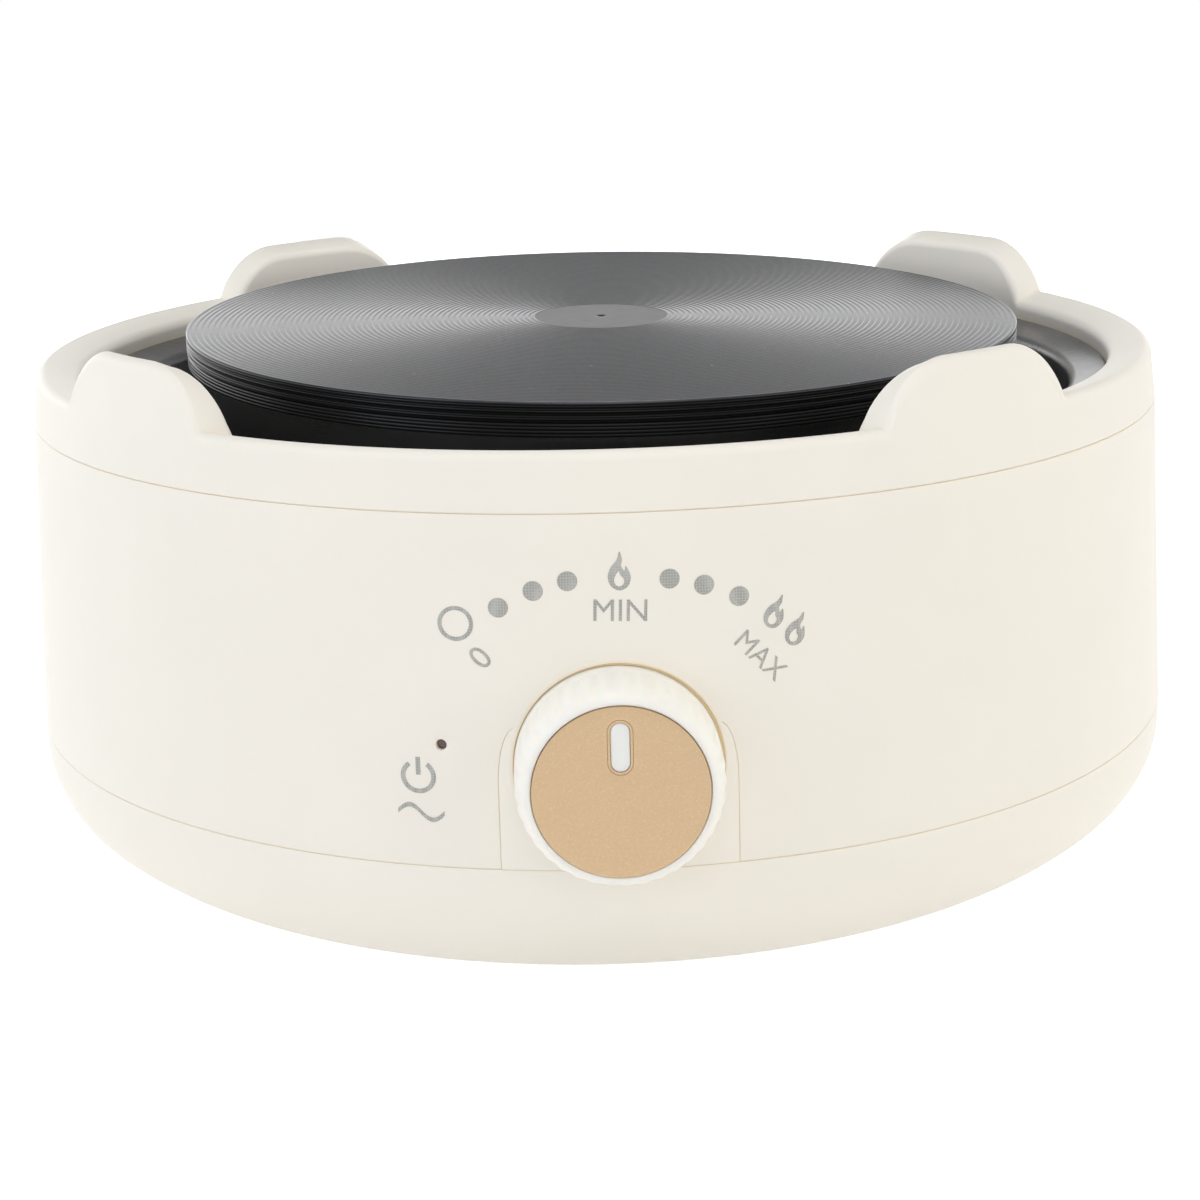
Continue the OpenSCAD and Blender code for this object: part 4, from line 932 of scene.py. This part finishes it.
def build_plate_edge():
    """Turned edge with fine uneven grooves, and the smoother lip under it."""
    z_top = Z_PLATE - PLATE_ROUND
    z_edge = Z_PLATE - EDGE_H
    z_lip = z_edge - LIP_H
    profile = [(PLATE_R - 0.4, z_top), (PLATE_R - 0.02, z_top)]
    pitch = (z_top - z_edge - 0.2) / EDGE_GROOVES
    for k in range(EDGE_GROOVES):
        depth = EDGE_GROOVE_D * (1 + k * 3 % 5) / 5
        z = z_top - k * pitch
        profile += [(PLATE_R - drop * depth, z - share * pitch) for share, drop in EDGE_GROOVE]
    bottom = PLATE_R - LIP_GROOVE_D
    lip_r = PLATE_R - LIP_INSET
    boss_r = PLATE_R - BOSS_INSET
    profile += [(PLATE_R - 0.03, z_edge + 0.2), (PLATE_R - 0.1, z_edge + 0.14)]
    profile += [(bottom, z_edge + 0.1), (bottom, z_edge)]
    profile += arc((lip_r - LIP_ROUND, z_edge - LIP_ROUND), LIP_ROUND, 90, 0, 6)
    for k in range(1, LIP_GROOVES):
        z = z_edge - LIP_H * k / LIP_GROOVES
        profile += [(lip_r - drop, z - fall) for drop, fall in LIP_GROOVE]
    profile += [(lip_r, z_lip + 0.12), (lip_r - 0.12, z_lip), (boss_r, z_lip)]
    profile += [(boss_r, Z_PLATE - PLATE_T), (0, Z_PLATE - PLATE_T)]
    turned_on_plate("plate_edge", profile, PLATE_SEGMENTS, edge_black)


def build_plate_middle():
    """Smooth, scratched middle of the plate with a turned dimple."""
    z = Z_PLATE - RECESS_D
    profile = [(0, z - 0.5), (0.2, z - 0.42), (0.5, z - 0.12), (0.75, z - 0.02)]
    profile += [(float(r), z) for r in np.linspace(0.95, RECESS_R + 0.02, 20)]
    turned_on_plate("plate_middle", profile, 128, plate_scratched)


build_plate()
build_plate_edge()
build_plate_middle()


# Black pan round the plate's boss, and the fibre disc in it

BACKING_Z = 70.2
BACKING_GAP = 0.15
BACKING_DROP = 0.3
FIBRE_LOW = 71.1
FIBRE_HIGH = 75.4
FIBRE_HOLE_R = 5.0
FIBRE_GAP = 0.6


def build_backing_pan():
    outer = PLATE_R - BOSS_INSET + BACKING_GAP + BOWL_SHEET
    inner = outer - BOWL_SHEET
    z_floor = BACKING_Z + BOWL_SHEET
    z_high = Z_PLATE - EDGE_H - LIP_H - BACKING_DROP
    corners = [(0, BACKING_Z), (outer, BACKING_Z), (outer, z_high), (inner, z_high), (inner, z_floor)]
    profile = rounded(corners + [(0, z_floor)], [0, 1.5, 0.2, 0.2, 0.6, 0])
    turned_on_plate("backing_pan_form", profile, BODY_SEGMENTS, pan_black,
                    ["backing_pan"], 50)


def build_insulation():
    """Fibre disc inside the pan, with a hole for the stud and rounded edges."""
    rim = PLATE_R - BOSS_INSET - FIBRE_GAP
    seam = (FIBRE_HOLE_R, (FIBRE_LOW + FIBRE_HIGH) / 2)
    corners = [seam, (FIBRE_HOLE_R, FIBRE_HIGH), (rim, FIBRE_HIGH), (rim, FIBRE_LOW)]
    profile = rounded(corners + [(FIBRE_HOLE_R, FIBRE_LOW), seam], [0, 0.4, 0.8, 0.8, 0.4, 0])
    turned_on_plate("insulation_form", profile, 192, fibre, ["insulation_disc"], 50, 0.002)


build_backing_pan()
build_insulation()


# Knob: a fluted skirt with a rounded shoulder, and a thin gold cap with a slot

T_FRONT = shell_radius(Z_KNOB) + 10.4
CAP_T = 1.0
CAP_RAISE = 0.15
SKIRT_DEPTH = 15.0
SHOULDER_DEPTH = 4.0
SHOULDER_R = CAP_R + 0.3
FLUTES = 37
FLUTE_D = 0.2
FLUTE_END = 9.5
FLUTE_FADE = 1.0
BAR_HALF = 1.27
BAR_FROM = 4.16
BAR_TO = 8.34
SLOT_GAP = 0.42
BAR_SINK = 0.05
SLOT_FLOOR = 0.04
KNOB_WALL = 1.6
KNOB_FACE_T = 1.9
HUB_R = 5.6
HUB_FROM = 80.0
SEAT_GAP = 0.12
POINTS_PER_FLUTE = 20


def knob_place():
    """From a frame whose Z points out of the knob's face and whose Y is up."""
    return Matrix.Translation((0, 0, Z_KNOB)) @ Matrix.Rotation(math.pi / 2, 4, "X")


def bar_loop(grow, clockwise=False):
    """Outline of the pointer on the cap, grown by a margin."""
    radius = BAR_HALF + grow
    points = arc((0, BAR_TO), radius, 0, 180, 16) + arc((0, BAR_FROM), radius, 180, 360, 16)
    return list(reversed(points)) if clockwise else points


def turned_rows(section, turns):
    return [[(r * math.cos(a), r * math.sin(a), t) for a in turns] for r, t in section]


def build_knob():
    builder = Builder()
    face = T_FRONT - CAP_RAISE
    recess = T_FRONT - CAP_T
    back = face - SKIRT_DEPTH
    shoulder = face - SHOULDER_DEPTH
    inner_r = KNOB_R - KNOB_WALL
    inner_t = recess - KNOB_FACE_T
    turns = full_turn(POINTS_PER_FLUTE * FLUTES)
    side = [(inner_r, back), (KNOB_R - 0.3, back), (KNOB_R, back + 0.3)]
    side += [(KNOB_R, back + 0.8), (KNOB_R, face - FLUTE_END - 1)]
    side += [(KNOB_R, face - FLUTE_END + FLUTE_FADE * k / 6) for k in range(7)]
    side += [(KNOB_R, float(t)) for t in np.linspace(face - FLUTE_END + FLUTE_FADE, shoulder, 6)[1:]]
    side += arc((SHOULDER_R, shoulder), (KNOB_R - SHOULDER_R, SHOULDER_DEPTH), 4, 88, 24)
    rows = []
    for r, t in side:
        row = []
        fade = smooth_step((t - face + FLUTE_END) / FLUTE_FADE)
        for a in turns:
            wave = 0.5 - 0.5 * math.cos(a * FLUTES)
            share = max(0.0, (r - SHOULDER_R) / (KNOB_R - SHOULDER_R))
            reach = r - FLUTE_D * wave * fade * share
            row.append((reach * math.cos(a), reach * math.sin(a), t))
        rows.append(row)
    seat_r = CAP_R + SEAT_GAP
    seat = [(SHOULDER_R - 0.02, face), (seat_r + 0.05, face - 0.03), (seat_r, face - 0.1), (seat_r, recess)]
    made = builder.rows(rows + turned_rows(seat, turns))
    builder.faces.append(tuple(made[-1]))
    inner_rows = builder.rows(turned_rows([(inner_r, back), (inner_r, inner_t)], turns))
    builder.faces.append(tuple(reversed(inner_rows[-1])))
    hub_rows = builder.rows(turned_rows([(HUB_R, HUB_FROM), (HUB_R, inner_t)], turns[::10]))
    builder.faces.append(tuple(hub_rows[0]))

    def place(x, y, depth):
        return (x, y, T_FRONT - BAR_SINK - depth)

    sheet(builder, bar_loop(0.0), [], (0.5, 0.5), place, CAP_T - BAR_SINK, 0.18)
    builder.move(knob_place())
    builder.make("knob_form", white, ["knob_body"], body="knob", sharp=45, merge=0.002)


def build_cap():
    builder = Builder()

    def place(x, y, depth):
        return (x, y, T_FRONT - depth)

    def on_floor(x, y, depth):
        return (x, y, T_FRONT - SLOT_FLOOR - depth)

    sheet(builder, circle((0, 0), CAP_R, 180), [bar_loop(SLOT_GAP, True)], (1.5, 1.5), place, CAP_T, 0.12)
    slot_floor = [bar_loop(0.05, True)]
    sheet(builder, bar_loop(SLOT_GAP - 0.02), slot_floor, (0.5, 0.5), on_floor, CAP_T - SLOT_FLOOR, 0.04)
    builder.move(knob_place())
    builder.make("cap_form", gold, ["knob_cap"], body="knob")


build_knob()
build_cap()


# Cord gland at the back

GLAND_BORE_R = 3.6
GLAND_FLANGE_R = 8.9
GLAND_SINK = 0.9
GLAND_FLANGE_T = 3.0
GLAND_REACH = 8.0
GLAND_DEPTH = 9.0


def build_gland():
    builder = Builder()
    surface_r = shell_radius(Z_GLAND)
    inside = surface_r - GLAND_DEPTH
    seat = surface_r - GLAND_SINK
    flange = surface_r + GLAND_FLANGE_T
    end = surface_r + GLAND_REACH
    corners = [(GLAND_BORE_R, inside), (GLAND_NECK_R, inside), (GLAND_NECK_R, seat), (GLAND_FLANGE_R, seat),
               (GLAND_FLANGE_R, flange), (GLAND_NECK_R, flange), (GLAND_NECK_R, end), (GLAND_BORE_R, end),
               (GLAND_BORE_R, inside)]
    builder.lathe(rounded(corners, [0, 0.2, 0, 0, 1.0, 0.8, 0.6, 0.5, 0]), 96)
    builder.move(Matrix.Translation((0, 0, Z_GLAND)) @ Matrix.Rotation(-math.pi / 2, 4, "X"))
    builder.make("cord_gland_form", cream, ["cord_gland"], sharp=45, merge=0.002)


build_gland()


# Printed marks round the knob

MARK_LIFT = 0.03


def lay_print(name, patches):
    """Flat patches laid on the shell; each has its points, as (x, z), and its faces."""
    builder = Builder()
    for points, faces in patches:
        row = builder.add([front_point(x, z, -MARK_LIFT) for x, z in points])
        builder.faces += [tuple(row[i] for i in face) for face in faces]
    builder.make(name, ink_grey, sharp=80)


def add_marks(name, groups):
    """Printed outlines; each group is an outer loop and its holes."""
    lay_print(name, [fill(outer, holes, (0.8, 0.8)) for outer, holes in groups])


def set_at(points, place, lean, scale=1.0):
    """Points drawn about the origin, set beside and over the knob's axis, leaning to the right."""
    c = math.cos(math.radians(lean))
    s = math.sin(math.radians(lean))
    right = place[0]
    rise = Z_KNOB + place[1]
    return [(right + scale * (x * c + y * s), rise + scale * (y * c - x * s)) for x, y in points]


def smooth_loop(points, steps=8):
    """A smooth closed curve through points."""
    result = []
    n = len(points)
    for i in range(n):
        a, b, c, d = (np.array(points[(i + k) % n], float) for k in (-1, 0, 1, 2))
        for k in range(steps):
            t = k / steps
            result.append(tuple(0.5 * (2 * b + (c - a) * t + (2 * a - 5 * b + 4 * c - d) * t ** 2
                                       + (3 * b - a - 3 * c + d) * t ** 3)))
    return result


FLAME = [(0.1, 3.2), (-0.35, 1.9), (-1.35, 0.6), (-1.75, -0.9), (-1.2, -2.3), (0.0, -2.9), (1.25, -2.4),
         (1.8, -1.0), (1.4, 0.35), (1.0, 0.9), (0.85, 0.2), (0.35, 0.9), (0.5, 2.0)]
FLAME_HEART = [(-0.1, 0.1), (-0.75, -1.0), (-0.65, -1.9), (0.0, -2.3), (0.65, -1.9), (0.7, -1.1),
               (0.25, -0.6)]


def flame_at(place, lean, scale):
    flame, heart = (set_at(smooth_loop(points), place, lean, scale) for points in (FLAME, FLAME_HEART))
    return (flame, [heart])


def word(text, size):
    """Outlines of a word, drawn about its middle."""
    curve = bpy.data.curves.new(text, "FONT")
    curve.body = text
    curve.size = size
    curve.align_x = "CENTER"
    curve.align_y = "CENTER"
    holder = put(text, curve)
    bpy.context.view_layer.update()
    made = bpy.data.meshes.new_from_object(holder)
    points = [(v.co.x, v.co.y) for v in made.vertices]
    faces = [tuple(p.vertices) for p in made.polygons]
    bpy.data.objects.remove(holder)
    return points, faces


def add_word(name, text, size, place, lean):
    points, faces = word(text, size)
    lay_print(name, [(set_at(points, place, lean), faces)])


OFF_RING = (-21.3, Z_KNOB + 19.9)
DOT_R = 1.35
DOTS = ((-15.5, 22.2), (-10.8, 24.5), (-6.2, 25.8), (7.4, 25.7), (12.0, 24.6), (16.7, 22.7))


def power_mark(middle, radius, half_width):
    """A broken ring with an upright bar."""
    outer = arc(middle, radius + half_width, 125, 415, 40)
    inner = arc(middle, radius - half_width, 415, 125, 40)
    x, z = middle
    bar = [(x - half_width, z + 0.1 * radius), (x + half_width, z + 0.1 * radius),
           (x + half_width, z + 1.3 * radius), (x - half_width, z + 1.3 * radius)]
    return [(outer + inner, []), (bar, [])]


def wave_mark(middle, length, height, half_width):
    """One full wave."""
    steps = [i / 40 for i in range(41)]
    line = [(middle[0] + length * (t - 0.5), middle[1] + height * math.sin(2 * math.pi * t)) for t in steps]
    under = [(x, z - half_width) for x, z in line]
    over = [(x, z + half_width) for x, z in reversed(line)]
    return (under + over, [])


add_marks("dial_dots", [(circle((x, Z_KNOB + rise), DOT_R, 32), []) for x, rise in DOTS])
add_marks("dial_flames", [flame_at((0.7, 26.9), 0, 0.86), flame_at((21.6, 20.1), 22, 0.78),
                          flame_at((24.5, 17.4), 22, 0.78)])
add_marks("dial_off_ring", [(circle(OFF_RING, 2.4, 48), [circle(OFF_RING, 1.85, 48)])])
add_word("dial_zero", "0", 4.6, (-18.0, 15.2), -48)
add_word("dial_min", "MIN", 4.3, (0.75, 21.5), 2)
add_word("dial_max", "MAX", 3.9, (19.4, 14.2), 46)
add_marks("power_mark", power_mark((-27.2, 37.3), 2.1, 0.32))
add_marks("mains_mark", [wave_mark((-27.0, 32.2), 6.4, 1.0, 0.33)])


# Floor, light and camera

FLOOR_R = 0.8
FLOOR_POINTS = 96
FLOOR_GLOW = 0.85
FLOOR_BOUNCE = 0.12
ROOM_LIGHT = 1.0
WHITE = (1, 1, 1, 1)
CAMERA_TURN = math.radians(1.2)
CAMERA_PITCH = math.radians(15.33)
CAMERA_ROLL = -0.02605
CAMERA_LENS = 76.67
CAMERA_PLACE = (-0.00876, -0.4184, 0.1518)


def seen_rays(tree):
    """1 for rays from the camera, from a reflection or through glass."""
    path = new_node(tree, "LightPath")
    direct = new_node(tree, "Math")
    seen = new_node(tree, "Math")
    for larger in (direct, seen):
        larger.operation = "MAXIMUM"
    link(tree, path, "Is Camera Ray", direct, 0)
    link(tree, path, "Is Glossy Ray", direct, 1)
    link(tree, direct, "Value", seen, 0)
    link(tree, path, "Is Transmission Ray", seen, 1)
    return seen


def mix_by_ray(tree, rays, out, other, seen, target):
    """Shows one shader to the rays that are meant and the other shader to all other rays."""
    mix = new_node(tree, "MixShader")
    link(tree, rays, out, mix, "Fac")
    link(tree, other, 0, mix, 1)
    link(tree, seen, 0, mix, 2)
    link(tree, mix, "Shader", tree.nodes[target], "Surface")


def build_stage():
    """A round white floor that takes a faint shadow, in an even white room."""
    points = [Vector((x, y, 0)) for x, y in circle((0, 0), FLOOR_R, FLOOR_POINTS)]
    mesh = bpy.data.meshes.new("floor")
    mesh.from_pydata(points, [], [tuple(range(FLOOR_POINTS))])
    piece = put("floor", mesh)
    material, tree, shader = new_material("floor")
    set_inputs(shader, {"Base Color": (0.8, 0.795, 0.78, 1), "Roughness": 0.9, "Specular IOR Level": 0.1})
    set_inputs(shader, {"Emission Color": (1, 0.96, 0.9, 1), "Emission Strength": FLOOR_BOUNCE})
    bright = new_node(tree, "BsdfPrincipled")
    set_inputs(bright, {"Base Color": (0.85, 0.85, 0.85, 1), "Roughness": 0.9, "Specular IOR Level": 0.0})
    set_inputs(bright, {"Emission Color": WHITE, "Emission Strength": FLOOR_GLOW})
    mix_by_ray(tree, seen_rays(tree), "Value", shader, bright, "Material Output")
    mesh.materials.append(material)
    world = bpy.data.worlds.new("studio")
    world.use_nodes = True
    bpy.context.scene.world = world
    tree = world.node_tree
    room = tree.nodes["Background"]
    room.inputs["Strength"].default_value = ROOM_LIGHT
    apart = new_node(tree, "SeparateXYZ")
    link(tree, place_texture(tree), "Generated", apart, "Vector")
    shade = ramp(tree, apart, "Z", 0.0, 1.0, WHITE, (0.12, 0.12, 0.12, 1))
    for height, level in ((0.17, 1.0), (0.3, 0.5), (0.45, 0.22)):
        shade.color_ramp.elements.new(height).color = (level, level, level, 1)
    link(tree, shade, "Color", room, "Color")
    white_wall = new_node(tree, "Background", {"Color": WHITE, "Strength": 1.0})
    path = new_node(tree, "LightPath")
    mix_by_ray(tree, path, "Is Camera Ray", room, white_wall, "World Output")


def add_light(name, place, aim, size, power, colour=(1, 1, 1)):
    data = bpy.data.lights.new(name, "AREA")
    data.shape = "RECTANGLE"
    data.size = size[0]
    data.size_y = size[1]
    data.energy = power
    data.color = colour
    lamp = put(name, data)
    lamp.location = place
    lamp.rotation_euler = (Vector(aim) - Vector(place)).to_track_quat("-Z", "Y").to_euler()


def add_camera():
    c = math.cos(CAMERA_TURN)
    s = math.sin(CAMERA_TURN)
    level = math.cos(CAMERA_PITCH)
    forward = Vector((level * s, level * c, -math.sin(CAMERA_PITCH)))
    right = Vector((c, -s, 0))
    up = right.cross(forward)
    x_axis = math.cos(CAMERA_ROLL) * right + math.sin(CAMERA_ROLL) * up
    y_axis = math.cos(CAMERA_ROLL) * up - math.sin(CAMERA_ROLL) * right
    data = bpy.data.cameras.new("camera")
    data.sensor_width = 36.0
    data.lens = CAMERA_LENS
    data.clip_start = 0.01
    camera = put("camera", data)
    axes = Matrix((x_axis, y_axis, -forward)).transposed().to_4x4()
    camera.matrix_world = Matrix.Translation(CAMERA_PLACE) @ axes
    bpy.context.scene.camera = camera


build_stage()
add_light("back_wall", (-0.35, 1.5, 0.255), (0, 0, 0.08), (3.2, 0.47), 9.9)
add_light("left_wall", (-1.6, 0.3, 0.4), (0, 0, 0.08), (1.4, 0.7), 2.8)
add_light("right_wall", (1.6, 0.3, 0.4), (0, 0, 0.08), (1.4, 0.7), 3.2)
add_light("left_box", (-1.5, -0.9, 0.8), (0, 0, 0.05), (1.2, 1.2), 8.2, (0.95, 1.0, 1.12))
add_light("right_box", (1.5, -0.9, 0.8), (0, 0, 0.05), (1.2, 1.2), 7.6, (1.0, 0.96, 0.88))
add_light("front_box", (0, -1.5, 1.1), (0, 0, 0.05), (1.0, 0.8), 4.2)
add_light("top_box", (0, -0.1, 1.5), (0, 0, 0.08), (1.0, 1.0), 8.2)
add_camera()
bpy.context.scene.view_settings.view_transform = "Standard"
